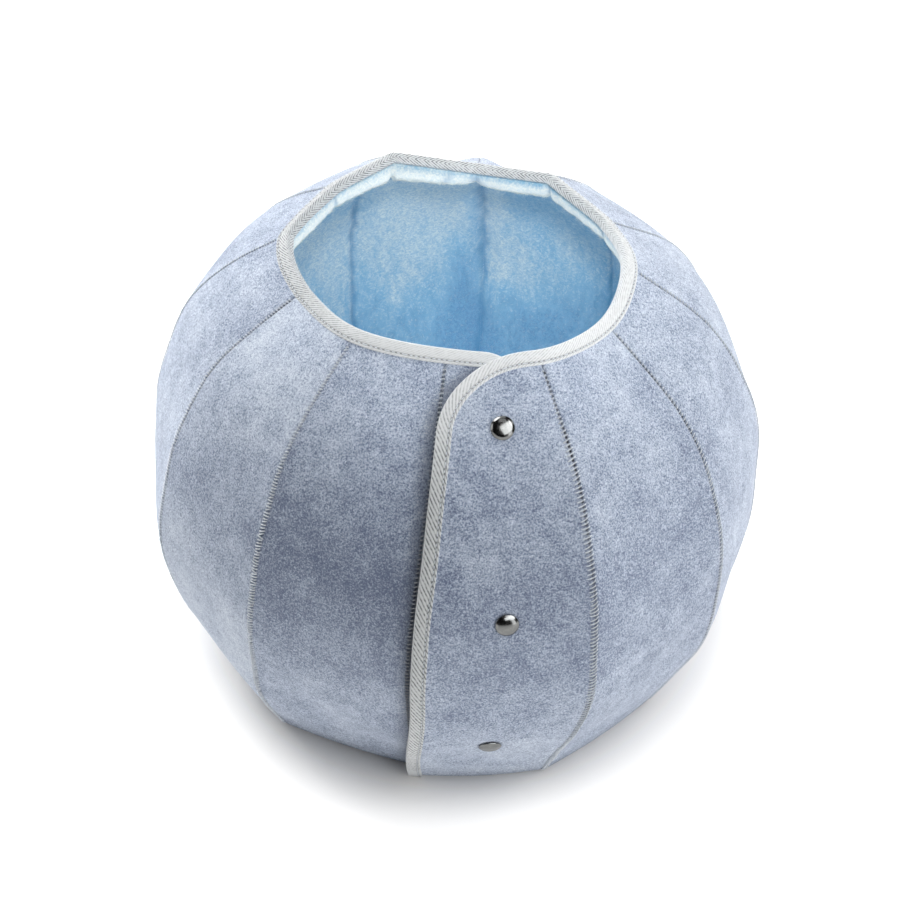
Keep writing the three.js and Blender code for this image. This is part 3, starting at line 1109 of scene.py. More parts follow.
    def nearest(self, surface: Surface, targets: Array, across: Array, rise: Array) -> Array:
        """Drops points square onto a surface.

        Args:
            surface: The surface.
            targets: The points.
            across: Where to start looking, by share across.
            rise: Where to start looking, by rise.

        Returns:
            The points on the surface.
        """
        step = self.step
        for _ in range(5):
            facing = self.facing(surface, across, rise)
            offset = targets - facing.points
            wide = norm(surface(across + step, rise) - surface(across - step, rise))
            tall = norm(surface(across, rise + step) - surface(across, rise - step))
            across = across + dot(offset, facing.rightward)[..., 0] * 2 * step / wide
            rise = rise + dot(offset, facing.upward)[..., 0] * 2 * step / tall
        return surface(across, rise)


@dataclass
class Gore:
    """One sector of the wall: its surface, the seams that hold it, and where it starts and ends."""

    name: str
    surface: Surface
    left_seam: int | None = None
    right_seam: int | None = None
    starts: Callable[[Array], Array] = np.zeros_like
    ends: Callable[[Array], Array] = np.ones_like


@dataclass
class Lattice:
    """Grid of a gore on the felt's outer face, with the way into the cloth there."""

    points: Array
    inward: Array
    left: Array
    right: Array
    across: Array
    rise: Array

    @property
    def from_seam(self) -> Array:
        """Distance to the nearest sewn edge."""
        return np.minimum(self.left, self.right)

    def at_depth(self, depth: Array, foot: float) -> Array:
        """Returns the grid at a depth, cut level at a height."""
        grid = self.points + self.inward * depth[..., None]
        return cut_level(grid, foot, min(8, len(grid) - 1))

    def declare(self, piece: bpy.types.Object) -> None:
        """Logs the width, length and area of the sheet that a piece is cut from, by this grid.

        Args:
            piece: The piece.
        """
        wide, tall = norm(np.diff(self.points, axis=1)), norm(np.diff(self.points, axis=0))
        width, length = wide.sum(1).max(), tall.sum(0).max()
        middle = wide[:-1] * 0.5 + wide[1:] * 0.5
        area = (middle * (tall[:, :-1] + tall[:, 1:]) * 0.5).sum()
        LOG.info("%s cut: %.0f x %.0f mm, %.4f m2", piece.name, width / MM, length / MM, area)


@dataclass
class Wall:
    """All gores of the wall and the mitres between them."""

    form: BodyForm
    mitre_reach: float = 6 * MM

    def __post_init__(self) -> None:
        """Lists the gores round the body."""
        form, last = self.form, self.form.last_seam
        self.gores = [
            Gore(f"{left + 1:02d}", form.between(left, left + 1), left, left + 1)
            for left in range(last)
        ]
        self.underlap = Gore(
            "underlap",
            form.underlap_surface(),
            left_seam=last,
            ends=lambda rise: np.full_like(rise, form.underlap_end),
        )
        self.flap = Gore("flap", form.flap_surface(), right_seam=0, starts=form.flap_start)

    def neighbours(self, seam: int) -> tuple[Gore, Gore]:
        """Finds the gores on both sides of a seam.

        Args:
            seam: The seam's number.

        Returns:
            The left gore and the right one.
        """
        left = self.flap if seam == 0 else self.gores[seam - 1]
        right = self.underlap if seam == self.form.last_seam else self.gores[seam]
        return left, right

    def mitre(self, seam: int, rise: Array) -> tuple[Facing, Array]:
        """Finds the mitre where two gores meet.

        Args:
            seam: The seam's number.
            rise: Places by rise.

        Returns:
            The seam's facing, and how much longer a depth is along the mitre.
        """
        left, right = self.neighbours(seam)
        one = self.form.facing(left.surface, np.ones_like(rise), rise)
        two = self.form.facing(right.surface, np.zeros_like(rise), rise)
        outward = unit(one.outward + two.outward)
        stretch = 1 / dot(outward, one.outward)
        rightward = one.rightward + two.rightward
        rightward = unit(rightward - outward * dot(rightward, outward))
        points = one.points * 0.5 + two.points * 0.5
        return Facing(points, outward, rightward, np.cross(outward, rightward)), stretch

    def lattice(
        self, gore: Gore, rises: Array, shares: Array, seam_inset: float = 0.2 * MM
    ) -> Lattice:
        """Lays a grid on a gore.

        Args:
            gore: The gore.
            rises: Rise of each row.
            shares: Place of each column, from 0 at the left edge to 1 at the right one.
            seam_inset: How far a sewn edge keeps from the middle of its seam.

        Returns:
            The grid.
        """
        low, high = gore.starts(rises), gore.ends(rises)
        width = norm(gore.surface(high, rises) - gore.surface(low, rises))
        inset = seam_inset / width * (high - low)
        low = low + (inset if gore.left_seam is not None else 0)
        high = high - (inset if gore.right_seam is not None else 0)
        across = low[:, None] + (high - low)[:, None] * shares
        rise = np.repeat(rises[:, None], len(shares), axis=1)
        facing = self.form.facing(gore.surface, across, rise)
        outward = facing.outward
        sides = []
        for seam, from_edge in ((gore.left_seam, shares), (gore.right_seam, 1 - shares)):
            sides.append(np.ones(across.shape) if seam is None else from_edge * width[:, None])
            if seam is not None:
                outward = self._mitred(outward, seam, rises, sides[-1])
        return Lattice(facing.points, -outward, *sides, across, rise)

    def _mitred(self, outward: Array, seam: int, rises: Array, distance: Array) -> Array:
        """Turns a gore's outward directions to a seam's mitre.

        Args:
            outward: The directions.
            seam: The seam's number.
            rises: Rise of each row.
            distance: Distance from the seam.

        Returns:
            Directions, as long as a depth of 1 is there.
        """
        facing, stretch = self.mitre(seam, rises)
        pull = hill(distance, self.mitre_reach)[..., None]
        ways = outward * (1 - pull) + facing.outward[:, None] * pull
        return unit(ways) * (1 - pull + pull * stretch[:, None])


# ---- Pieces ----


def shares_with_fine_edges() -> Array:
    """Returns column places from 0 to 1 that crowd towards both edges."""
    edge = np.array([0, 0.003, 0.007, 0.012, 0.019, 0.029, 0.043, 0.062])
    inner = np.linspace(edge[-1], 1 - edge[-1], 26)[1:-1]
    return np.concatenate([edge, inner, 1 - edge[::-1]])


@dataclass
class FeltWall:
    """The felt gores, the underlap and the flap."""

    wall: Wall
    finishes: Finishes
    thickness: float = 2.8 * MM
    groove_depth: float = 1.2 * MM
    groove_width: float = 1.2 * MM
    dimple_depth: float = 0.9 * MM
    dimple_width: float = 10 * MM
    snap_seats: tuple[Pair, ...] = ((0.51, 0.911), (0.51, 0.596), (0.47, 0.230))
    # Strength and reach of the painted shadow that the flap casts on these gores beside its edge.
    flap_shadow_strength: float = 0.62
    lap_gores: tuple[str, ...] = ("11", "underlap")
    lap_reach: Pair = (6 * MM, 5 * MM)
    foot_turn_in: float = 0.7 * MM
    foot_turn_height: float = 0.9 * MM
    # Painted light and shade, gore by gore, at these rises: it stands in for how each facet is lit.
    tone_rises: tuple[float, ...] = (0.1, 0.35, 0.65, 0.9)
    painted_gore_light: tuple[tuple[str, float, float, float, float], ...] = (
        ("11", -0.015, -0.02, -0.10, -0.005),
        ("10", 0.05, 0.05, -0.045, 0.05),
        ("flap", 0.02, -0.03, -0.042, 0.0),
        ("01", -0.02, -0.025, -0.04, 0.01),
        ("02", -0.01, -0.016, -0.018, 0.01),
        ("03", 0.0, 0.01, 0.01, 0.01),
    )

    def rises(self, flap: bool) -> Array:
        """Places the rows of a felt piece, crowded at its foot.

        Args:
            flap: Whether it is the flap, whose rows crowd at its rounded corner too.

        Returns:
            The rise of each row.
        """
        foot = np.array([0, 0.002, 0.005, 0.010, 0.018])
        if not flap:
            return np.concatenate([foot, np.linspace(0.028, 1, 112)])
        turn = np.linspace(0, math.pi / 2, 30)
        corner = self.wall.form.corner_rise
        return np.concatenate(
            [foot, np.linspace(0.028, corner, 100)[:-1], corner + (1 - corner) * np.sin(turn)]
        )

    def build(self, gore: Gore, node: str) -> bpy.types.Object:
        """Builds the felt piece of one gore.

        Args:
            gore: The gore.
            node: The CAD node that the piece stands for.

        Returns:
            The piece.
        """
        flap = gore is self.wall.flap
        lattice = self.wall.lattice(gore, self.rises(flap), shares_with_fine_edges())
        depth = self.dot_depth(gore, lattice)
        outer = lattice.at_depth(self.sunk(lattice, depth, flap), 0)
        inner = lattice.at_depth(np.full(depth.shape, self.thickness), 0)
        points, faces = closed_shell(outer, inner)
        # Painted shade in the seam's gaps and between the ladder's threads.
        width = (0.8 - 0.2 * smoothstep(lattice.rise, 0.7, 0.9)) * MM
        rungs = (1 - 0.8 * depth) * (1 - 0.45 * smoothstep(lattice.rise, 0.6, 0.85))
        if flap:
            rungs = 1.1 - 0.5 * smoothstep(lattice.rise, 0.85, 0.95)
        marks = {
            "groove": np.clip(1.7 * hill(lattice.from_seam / width, 1), 0, 1) * depth,
            "tone": self.tone(gore, lattice.rise),
            "rungs": rungs,
        }
        # Painted shadow of the flap's free edge on the felt beside it.
        if gore.name in self.lap_gores:
            flap_starts = self.wall.form.flap_start(lattice.rise)
            away = norm(lattice.points - self.wall.flap.surface(flap_starts, lattice.rise))
            clear, fade = self.lap_reach
            marks["lapped"] = self.flap_shadow_strength * hill(np.maximum(away - clear, 0), fade)
        marks = {name: both(values) for name, values in marks.items()}
        maps = {"seam": np.tile(self.seam_map(gore, lattice), (2, 1))}
        name = f"wall_felt_{gore.name}"
        piece = make_piece(name, points, faces, self.finishes.felt, marks, maps)
        belongs(piece, Slot.FELT, node)
        lattice.declare(piece)
        return piece

    def sunk(self, lattice: Lattice, depth: Array, flap: bool) -> Array:
        """Sinks the felt at its seams, at the floor and round the snaps.

        Args:
            lattice: The grid on the gore.
            depth: How dark the nearer seam is, which goes with how deep it is.
            flap: Whether it is the flap, which holds the snaps.

        Returns:
            How far each point sinks.
        """
        sunk = self.groove_depth * hill(lattice.from_seam, self.groove_width)
        sunk = sunk * (0.35 + 0.65 * depth)
        sunk = sunk + self.foot_turn_in * hill(lattice.points[..., 2], self.foot_turn_height)
        for across, rise in self.snap_seats if flap else ():
            seat = self.wall.flap.surface(np.array(across), np.array(rise))
            away = norm(lattice.points - seat)
            sunk = sunk + self.dimple_depth * hill(away, self.dimple_width)
        return sunk

    def tone(self, gore: Gore, rise: Array) -> Array:
        """Returns a gore's painted light and shade, paler or darker than the rest, over its rise.
        """
        own = {name: steps for name, *steps in self.painted_gore_light}.get(gore.name, (0, 0, 0, 0))
        return np.interp(rise, self.tone_rises, own)

    def dot_depth(self, gore: Gore, lattice: Lattice) -> Array:
        """Works out how dark the painted shade between the stitches of the nearer seam is.

        Args:
            gore: The gore.
            lattice: The grid on it.

        Returns:
            The darkness, from 0 to 1.
        """
        depth = np.zeros(lattice.rise.shape)
        for seam, near in (
            (gore.left_seam, lattice.left <= lattice.right),
            (gore.right_seam, lattice.right < lattice.left),
        ):
            if seam is not None:
                depth = np.where(near, self.wall.form.dot_depth(seam, lattice.rise), depth)
        return depth

    def seam_map(self, gore: Gore, lattice: Lattice) -> Array:
        """Works out where each point lies in the stitching.

        Args:
            gore: The gore.
            lattice: The grid on it.

        Returns:
            The distance from the seam in ladder half-widths and the place in stitches, in pairs.
        """
        form = self.wall.form
        place = np.zeros(lattice.rise.shape)
        slant = form.stitch_lean / form.stitch_pitch
        if gore.left_seam is not None:
            place = form.stitch_places(gore.left_seam, lattice.rise) - slant * lattice.left
        if gore.right_seam is not None:
            other = form.stitch_places(gore.right_seam, lattice.rise) + slant * lattice.right
            place = np.where(lattice.right < lattice.left, other, place)
        half = form.ladder_half(lattice.rise, at_flap=gore is self.wall.flap)
        reach = np.minimum(lattice.from_seam / half, FAR)
        return np.stack([reach, place], axis=-1).reshape(-1, 2)

    def build_all(self) -> None:
        """Builds every felt piece of the wall."""
        for gore in self.wall.gores:
            self.build(gore, f"felt_gore_{gore.name}")
        self.build(self.wall.underlap, "felt_underlap")
        self.build(self.wall.flap, "felt_flap")


@dataclass
class Fold:
    """A soft fold of the lining that runs up a gore."""

    gore: str
    across: float
    height: float
    width: float
    wander: float


@dataclass
class Brushing:
    """A patch where the pile is brushed deeper (or, below 0, paler): turn, height, half sizes."""

    turn: float
    height: float
    wide: float
    tall: float
    depth: float

    def at(self, turn: Array, height: Array) -> Array:
        """Returns the patch's depth over turns in degrees and heights in millimetres."""
        level = hill(height - self.height, self.tall)
        return self.depth * hill(turn - self.turn, self.wide) * level


@dataclass
class PlushLining:
    """The plush inside the wall, pinched under the tape and puffed out as a roll below it."""

    wall: Wall
    finishes: Finishes
    back: float = 3.1 * MM
    foot: float = 3.3 * MM
    plain: float = 4 * MM
    puffed: float = 7 * MM
    thinnest: float = 0.6 * MM
    seam_inset: float = 0.02 * MM
    first_rise: float = 0.013
    roll_mark: float = 0.95
    pinch: Pair = (5.7 * MM, 8.7 * MM)
    pale_tips_and_light: Pair = (5 * MM, 7 * MM)
    pile_start: Pair = (9 * MM, 12 * MM)
    notch_width: float = 2.6 * MM
    folds_start: Pair = (26 * MM, 60 * MM)
    folds_foot: Pair = (0.05, 0.3)
    tuft_size: float = 3.2 * MM
    strand_size: float = 1.7 * MM
    lump_size: float = 16 * MM
    # Painted shade low in the cabin and on its right side.
    low_shade: float = 1.7
    low_shade_heights: Pair = (45 * MM, 180 * MM)
    right_shade: float = 0.6
    right_shade_turns: Pair = (150, 182)
    collar: tuple[Pair, ...] = (
        (0, 1.2),
        (6.0, 1.2),
        (6.8, 3.6),
        (8.1, 7.2),
        (10.3, 9.6),
        (13.2, 10.6),
        (17.0, 10.4),
        (20.0, 8.8),
        (23.0, 6.4),
        (27.0, 4.6),
        (33.0, 4.0),
    )
    folds: tuple[Fold, ...] = (
        Fold("05", 0.86, 2.6 * MM, 5 * MM, 0.02),
        Fold("05", 0.66, 1.6 * MM, 7 * MM, 0.03),
        Fold("06", 0.13, 2.6 * MM, 6 * MM, 0.02),
        Fold("04", 0.45, 1.4 * MM, 8 * MM, 0.05),
        Fold("08", 0.30, 1.0 * MM, 9 * MM, 0.04),
    )
    # Patches of brushed pile; the pale ones just under the roll, at 187 and 171.5 degrees, are
    # painted light that lifts the shade under it.
    brushings: tuple[Brushing, ...] = (
        Brushing(179.5, 122, 2.6, 42, 1.3),
        Brushing(178, 80, 5, 34, 0.9),
        Brushing(176, 190, 1.6, 34, 0.8),
        Brushing(171, 138, 2.6, 30, -0.7),
        Brushing(166, 138, 3, 26, -0.5),
        Brushing(159, 132, 4, 22, -0.35),
        Brushing(156, 162, 3, 16, -0.3),
        Brushing(199, 135, 4, 45, 0.4),
        Brushing(160, 205, 7, 18, 0.5),
        Brushing(187, 205, 10, 26, -0.55),
        Brushing(171.5, 200, 3, 26, -1.1),
        Brushing(199, 135, 5, 45, 0.15),
        Brushing(213, 110, 9, 40, 0.25),
    )
    notches: tuple[float, ...] = (0.3, 0.3, 0.3, 0.4, 0.55, 0.5, 0.6, 0.25, 0.25, 0.3, 0.3, 0.3)
    swells: tuple[float, ...] = (1, 1, 1, 1, 1, 1, 1.2, 1.25, 1.1, 1, 1, 1)
    crease_widths: tuple[float, ...] = (1.3, 1.3, 1.3, 1.3, 1.3, 3.4, 2.1, 1.3, 1.3, 1.3, 1.3, 1.3)
    crease_drift: float = 2.4 * MM
    gathered_seam: int = 6
    gathered_from: float = 99 * MM
    gathered_shift: float = 17 * MM
    gathered_fade: float = 22 * MM
    gathered_most: float = 40 * MM
    gathered_end: Pair = (125 * MM, 165 * MM)
    crease_wander: float = 7 * MM
    crease_bend: float = 13 * MM
    tufts_per_gore: int = 4500
    tuft_width: float = 0.13 * MM
    tuft_length: float = 2.4 * MM

    def __post_init__(self) -> None:
        """Readies the random numbers of the tufts."""
        self.rng = np.random.default_rng(41)
        self.tufts: list[Array] = []

    def rises(self) -> Array:
        """Returns the rows, crowded in the collar."""
        form = self.wall.form
        top = form.rise_below(np.linspace(36, 0, 37) * MM)
        body = np.linspace(self.first_rise, top[0], 76)[:-1]
        return np.concatenate([body, top])

    def build(self, gore: Gore, node: str) -> bpy.types.Object:
        """Builds the plush piece behind one gore.

        Args:
            gore: The gore.
            node: The CAD node that the piece stands for.

        Returns:
            The piece.
        """
        shares = shares_with_fine_edges()
        lattice = self.wall.lattice(gore, self.rises(), shares, self.seam_inset)
        below = (1 - lattice.rise) * self.wall.form.wall_per_rise
        loose = smoothstep(below, *self.pinch)
        thick, puff = self.thickness(gore, lattice, below, loose)
        inner = lattice.at_depth(self.back + thick, self.foot)
        thick = np.maximum(thick + loose * self.fluff(inner, puff), self.thinnest)
        inner = lattice.at_depth(self.back + thick, self.foot)
        outer = lattice.at_depth(np.full(thick.shape, self.back), self.foot)
        points, faces = closed_shell(outer, inner)
        self.tufts.append(self.pluck(inner, puff * smoothstep(below, *self.pile_start)))
        # Paler roll: partly the pile's own paler tips, partly painted light over the tape's shadow.
        pale_tips_and_light = np.clip(puff * 2.4, 0, 1) * smoothstep(below, *self.pale_tips_and_light)
        inside = {
            "roll": pale_tips_and_light * self.roll_mark,
            # Painted shade in the creases, less on the roll and none where the tape pinches.
            "crease": (0.8 - 0.35 * puff) * loose * self.creases(gore, lattice, below),
            # Brushed pile, with painted shade and light.
            "deep": self.brushed(inner),
        }
        marks = {key: np.append(np.zeros(v.size), v) for key, v in inside.items()}
        piece = make_piece(f"wall_plush_{gore.name}", points, faces, self.finishes.plush, marks)
        belongs(piece, Slot.PLUSH, node)
        lattice.declare(piece)
        return piece

    def thickness(
        self, gore: Gore, lattice: Lattice, below: Array, loose: Array
    ) -> tuple[Array, Array]:
        """Works out how far the plush stands off the felt.

        Args:
            gore: The gore that it lines.
            lattice: The grid on the gore.
            below: Distance below the mouth edge.
            loose: 0 where the tape pinches the plush, 1 where it is free.

        Returns:
            Its thickness, and how much the roll puffs out there, from 0 to 1.
        """
        rows = np.array(self.collar) * MM
        thick = np.interp(below, rows[:, 0], rows[:, 1])
        left = gore.left_seam
        right = (left + 1) % len(self.notches)
        swell = self.swells[left] + (self.swells[right] - self.swells[left]) * lattice.across
        thick = np.minimum(thick, self.plain) + np.maximum(thick - self.plain, 0) * swell
        puff = np.clip((thick - self.plain) / self.puffed, 0, 1)
        notch = np.where(lattice.left < lattice.right, self.notches[left], self.notches[right])
        creased = hill(lattice.from_seam, self.notch_width)
        thick = thick * (1 - creased * loose * (0.45 - 0.2 * puff) * notch)
        width = norm(lattice.points[:, -1] - lattice.points[:, 0])[:, None]
        strength = smoothstep(below, *self.folds_start)
        strength = strength * smoothstep(lattice.rise, *self.folds_foot)
        for number, fold in enumerate(self.folds):
            if fold.gore == gore.name:
                drift = fold.wander * np.sin(lattice.rise * 9 + number * 2.1)
                off = (lattice.across - fold.across - drift) * width
                thick = thick + fold.height * strength * hill(off, fold.width)
        return thick, puff

    def fluff(self, points: Array, puff: Array) -> Array:
        """Roughens the plush with tufts and lumps.

        Args:
            points: Points of its inner face.
            puff: How much the roll puffs out there.

        Returns:
            How far each point moves.
        """
        tuft = spread_noise(points, self.tuft_size, 11) * 0.6
        tuft = tuft + spread_noise(points, self.strand_size, 12) * 0.4
        lumps = spread_noise(points, self.lump_size, 13)
        return (0.35 + 0.65 * puff) * (0.8 * tuft + 0.7 * lumps * (1 - 0.4 * puff)) * MM

    def brushed(self, points: Array) -> Array:
        """Works out how the pile is brushed, over turns round the bed and heights.

        It also holds painted shade low in the cabin and on its right side, and painted light on its
        back-left wall.

        Args:
            points: Points of the plush's inner face.

        Returns:
            How deep its blue is, painted shade included.
        """
        turn = np.degrees(np.arctan2(points[..., 0], -points[..., 1])) % 360
        low = 1 - smoothstep(points[..., 2], *self.low_shade_heights)
        right = 1 - smoothstep(turn, *self.right_shade_turns)
        # Painted shade low down and on the right; painted light on the back-left wall.
        deep = self.right_shade * right + self.low_shade * low - 0.2 * hill(turn - 225, 38)
        for brushing in self.brushings:
            deep = deep + brushing.at(turn, points[..., 2] / MM)
        return deep

    def creases(self, gore: Gore, lattice: Lattice, below: Array) -> Array:
        """Finds the painted shade in the creases of the pile: along both seams, and beside one
        gathered seam.

        Args:
            gore: The gore that the plush lines.
            lattice: The grid on the gore.
            below: Distance below the mouth edge.

        Returns:
            How dark the painted crease shade is, from 0 to 1.
        """
        left, right = gore.left_seam, (gore.left_seam + 1) % len(self.notches)
        shift = self.gathered_shift * np.exp((self.gathered_from - below) / self.gathered_fade)
        shift = np.minimum(shift, self.gathered_most)
        level = np.stack([below, below * 0, below * 0], axis=-1)
        wander = spread_noise(lattice.points, self.crease_wander, 51)
        widest = max(self.crease_widths)
        marks = np.zeros(below.shape)
        for seam, away in ((left, lattice.left), (right, -lattice.right)):
            strength = 1.0
            if seam == self.gathered_seam and seam == left:
                strength = smoothstep(below, *self.gathered_end)
            elif seam == self.gathered_seam:
                away = away + shift
            drift = self.crease_drift * spread_noise(level, self.crease_bend, 60 + seam)
            away = away - drift * self.crease_widths[seam] / widest
            width = self.crease_widths[seam] * MM * (1 + 0.35 * wander)
            marks = np.maximum(marks, strength * hill(away, width) * (0.85 + 0.25 * wander))
        return np.clip(marks, 0, 1)

    def pluck(self, grid: Array, puff: Array) -> Array:
        """Draws thin three-cornered tufts that stand on the roll.

        Args:
            grid: Points of the plush's inner face, rows upwards.
            puff: How much the roll puffs out at each point.

        Returns:
            The tufts' corners, shaped (tufts, 3, 3).
        """
        rng = self.rng
        count = self.tufts_per_gore
        row = rng.integers(1, grid.shape[0] - 1, count * 12)
        column = rng.integers(0, grid.shape[1] - 1, count * 12)
        corners = grid[row, column], grid[row, column + 1], grid[row - 1, column]
        area = norm(np.cross(corners[1] - corners[0], corners[2] - corners[0]))
        chance = area * smoothstep(puff[row, column], 0.25, 0.7)
        kept = np.searchsorted(np.cumsum(chance) / chance.sum(), rng.uniform(0, 1, count))
        start, beside, under = (corner[kept] for corner in corners)
        shares = rng.uniform(0, 1, (2, count, 1))
        root = start + (beside - start) * shares[0] + (under - start) * shares[1]
        outward = unit(np.cross(under - start, beside - start))
        droop = np.array([0, 0, -0.35])
        way = unit(outward + rng.normal(0, 0.55, (count, 3)) + droop)
        side = unit(np.cross(way, rng.normal(size=(count, 3)))) * self.tuft_width
        tip = root + way * rng.uniform(0.6, 1.2, (count, 1)) * self.tuft_length
        root = root - outward * 0.3 * MM
        return np.stack([root - side, root + side, tip], axis=1)

    def build_pile(self) -> bpy.types.Object:
        """Returns the tufts of the whole roll as one piece."""
        corners = np.concatenate(self.tufts).reshape(-1, 3)
        faces = np.arange(len(corners)).reshape(-1, 3).tolist()
        marks = {"roll": np.full(len(corners), self.roll_mark)}
        piece = make_piece("roll_pile", corners, faces, self.finishes.plush, marks)
        return belongs(piece, Slot.PLUSH)

    def build_all(self) -> None:
        """Builds every plush piece."""
        for gore in self.wall.gores:
            self.build(gore, f"lining_gore_{gore.name}")
        self.build(self.wall.underlap, "lining_underlap")
        self.build_pile()


@dataclass
class EdgePath:
    """The bound edge: evenly spaced places with what the tape needs there."""

    edge: Array
    wall: Array
    outward: Array
    pack: Array
    ribs: Array
    along: Array


@dataclass
class BindingTape:
    """One folded twill tape over the flap's free edge, its corner and the whole mouth."""

    wall: Wall
    finishes: Finishes
    thickness: float = 0.8 * MM
    spacing: float = 1.5 * MM
    reaches: tuple[float, ...] = (0.0, 3.0, 6.0, 9.0)
    flap_pack: float = 3.5 * MM
    mouth_pack: float = 4.3 * MM
    plain_gores: tuple[str, ...] = ("11", "underlap")
    plain_ribs: float = 0.55
    fold_bulge: float = 1.1 * MM
    # Rows: reach in and height, in millimetres, and how dark the painted shade in the stitch groove
    # is.
    outer_leg: tuple[tuple[float, float, float], ...] = (
        (8.35, 0.60, 0.0),
        (8.2, 0.85, 0.0),
        (7.9, 1.05, 0.0),
        (7.4, 1.12, 0.0),
        (6.95, 1.02, 0.15),
        (6.6, 0.86, 0.6),
        (6.35, 0.78, 0.8),
        (6.1, 0.86, 0.6),
        (5.75, 1.02, 0.15),
        (5.3, 1.15, 0.0),
        (4.2, 1.25, 0.0),
        (2.9, 1.28, 0.0),
        (1.5, 1.20, 0.0),
        (0.5, 1.12, 0.0),
    )
    inner_leg_share: float = 0.66
    foot: float = 0.3 * MM
    fold_steps: int = 11
    ribs_start: Pair = (12 * MM, 26 * MM)

    def __post_init__(self) -> None:
        """Finds the edge that it binds."""
        self.edge = self._path()

    def _stretches(self) -> list[tuple[Gore, Array, Array]]:
        """Returns the edge gore by gore: places across each one, and their rises."""
        form, wall = self.wall.form, self.wall
        corner = form.corner_rise
        turn = np.sin(np.linspace(0, math.pi / 2, 60))
        climb = np.append(np.linspace(0, corner, 200)[:-1], corner + (1 - corner) * turn)
        top = np.linspace(form.corner_across, 1, 8)[1:]
        flap = np.append(form.flap_start(climb), top)
        stretches = [(wall.flap, flap, np.append(climb, np.ones_like(top)))]
        for gore in wall.gores:
            places = np.linspace(0, 1, 34)[:-1]
            stretches.append((gore, places, np.ones_like(places)))
        places = np.linspace(0, form.underlap_end, 30)
        return [*stretches, (wall.underlap, places, np.ones_like(places))]

    def _path(self) -> EdgePath:
        """Returns the whole bound edge, from the flap's foot to the underlap's end."""
        form = self.wall.form
        edges, walls, outwards, packs, ribs = [], [], [], [], []
        for gore, across, rise in self._stretches():
            facing = form.facing(gore.surface, across, rise)
            heading = unit(np.gradient(facing.points, axis=0))
            inward = unit(np.cross(heading, facing.outward))
            targets = [facing.points + inward * reach * MM for reach in self.reaches]
            rows = [form.nearest(gore.surface, target, across, rise) for target in targets]
            edges.append(facing.points)
            walls.append(np.stack(rows, axis=1))
            outwards.append(facing.outward)
            held = self.flap_pack if gore is self.wall.flap else self.mouth_pack
            packs.append(np.full(len(across), held))
            shown = self.plain_ribs if gore.name in self.plain_gores else 1.0
            ribs.append(np.full(len(across), shown))
        length = run_along(np.concatenate(edges))
        count = int(length[-1] / self.spacing)
        along = np.linspace(0, length[-1], count)

        def even(values: list[Array], reach: float) -> Array:
            """Spaces values evenly and softens them along the edge.

            Args:
                values: Rows of each stretch.
                reach: Distance over which they soften.

            Returns:
                The rows at even spacing.
            """
            joined = np.concatenate(values)
            flat = joined.reshape(len(joined), -1)
            spaced = np.stack([np.interp(along, length, column) for column in flat.T], axis=1)
            return smoothed_along(spaced.reshape(count, *joined.shape[1:]), along[1], reach)

        return EdgePath(
            edge=even(edges, 1.7 * MM),
            wall=even(walls, 1.7 * MM),
            outward=unit(even(outwards, 5 * MM)),
            pack=even(packs, 8 * MM),
            ribs=even(ribs, 12 * MM),
            along=along,
        )

    def at(self, reach: float | Array, height: float | Array) -> Array:
        """Finds places on the tape, one per section of the edge.

        Args:
            reach: Distance in from the edge, or, below 0, out past it.
            height: Height over the felt's outer face.

        Returns:
            The points.
        """
        path = self.edge
        reach, height = (np.broadcast_to(v, len(path.edge)) for v in (reach, height))
        steps = np.array(self.reaches) * MM
        inner = np.clip(reach, 0, steps[-1])
        slot = np.clip(np.searchsorted(steps, inner, "right") - 1, 0, len(steps) - 2)
        share = ((inner - steps[slot]) / (steps[slot + 1] - steps[slot]))[..., None]
        rows = np.arange(len(path.edge))
        base = path.wall[rows, slot] * (1 - share) + path.wall[rows, slot + 1] * share
        beyond = np.minimum(reach, 0)[..., None]
        way = unit(path.wall[:, 1] - path.wall[:, 0])
        return base + way * beyond + path.outward * height[..., None]

    def sections(self, sink: float) -> Array:
        """Draws the tape's lines along the edge, from its outer leg over the fold to its inner one.

        Args:
            sink: Depth below the tape's face.

        Returns:
            The grid, shaped (sections, lines, 3).
        """
        pack = self.edge.pack
        lines = [self.at(reach * MM, height * MM - sink) for reach, height, _ in self.outer_leg]
        half = pack / 2 + self.outer_leg[-1][1] * MM - sink
        for angle in np.linspace(math.pi / 2, -math.pi / 2, self.fold_steps + 1):
            bulge = (self.fold_bulge - sink) * max(math.cos(angle), 0) ** 0.75
            lines.append(self.at(-bulge, half * math.sin(angle) - pack / 2))
        for reach, height, _ in reversed(self.outer_leg):
            lines.append(self.at(reach * MM * self.inner_leg_share, -pack - (height * MM - sink)))
        return cut_level(np.stack(lines, axis=1), self.foot)

    def build(self) -> bpy.types.Object:
        """Returns the tape."""
        path = self.edge
        outer, inner = self.sections(0), self.sections(self.thickness)
        points, faces = closed_shell(outer[::-1], inner[::-1])
        leg = [groove_shade for _, _, groove_shade in self.outer_leg]
        groove_shades = np.array([*leg, *[0.0] * (self.fold_steps + 1), *reversed(leg)])
        over = run_along(outer[len(outer) // 2])
        from_fold = over - over[len(leg) + self.fold_steps // 2]
        along = np.repeat(path.along[::-1, None], len(over), axis=1)
        ribs = path.ribs[::-1, None] * smoothstep(along, *self.ribs_start)
        across = np.broadcast_to(from_fold, along.shape)
        marks = {"groove": both(np.broadcast_to(groove_shades, along.shape)), "ribs": both(ribs)}
        maps = {"strip": np.stack([both(along), both(across)], axis=-1)}
        piece = make_piece("binding", points, faces, self.finishes.tape, marks, maps)
        belongs(piece, Slot.TAPE, "binding_tape")
        LOG.info("tape cut: %.1f x %.0f mm", over[-1] / MM, path.along[-1] / MM)
        return piece


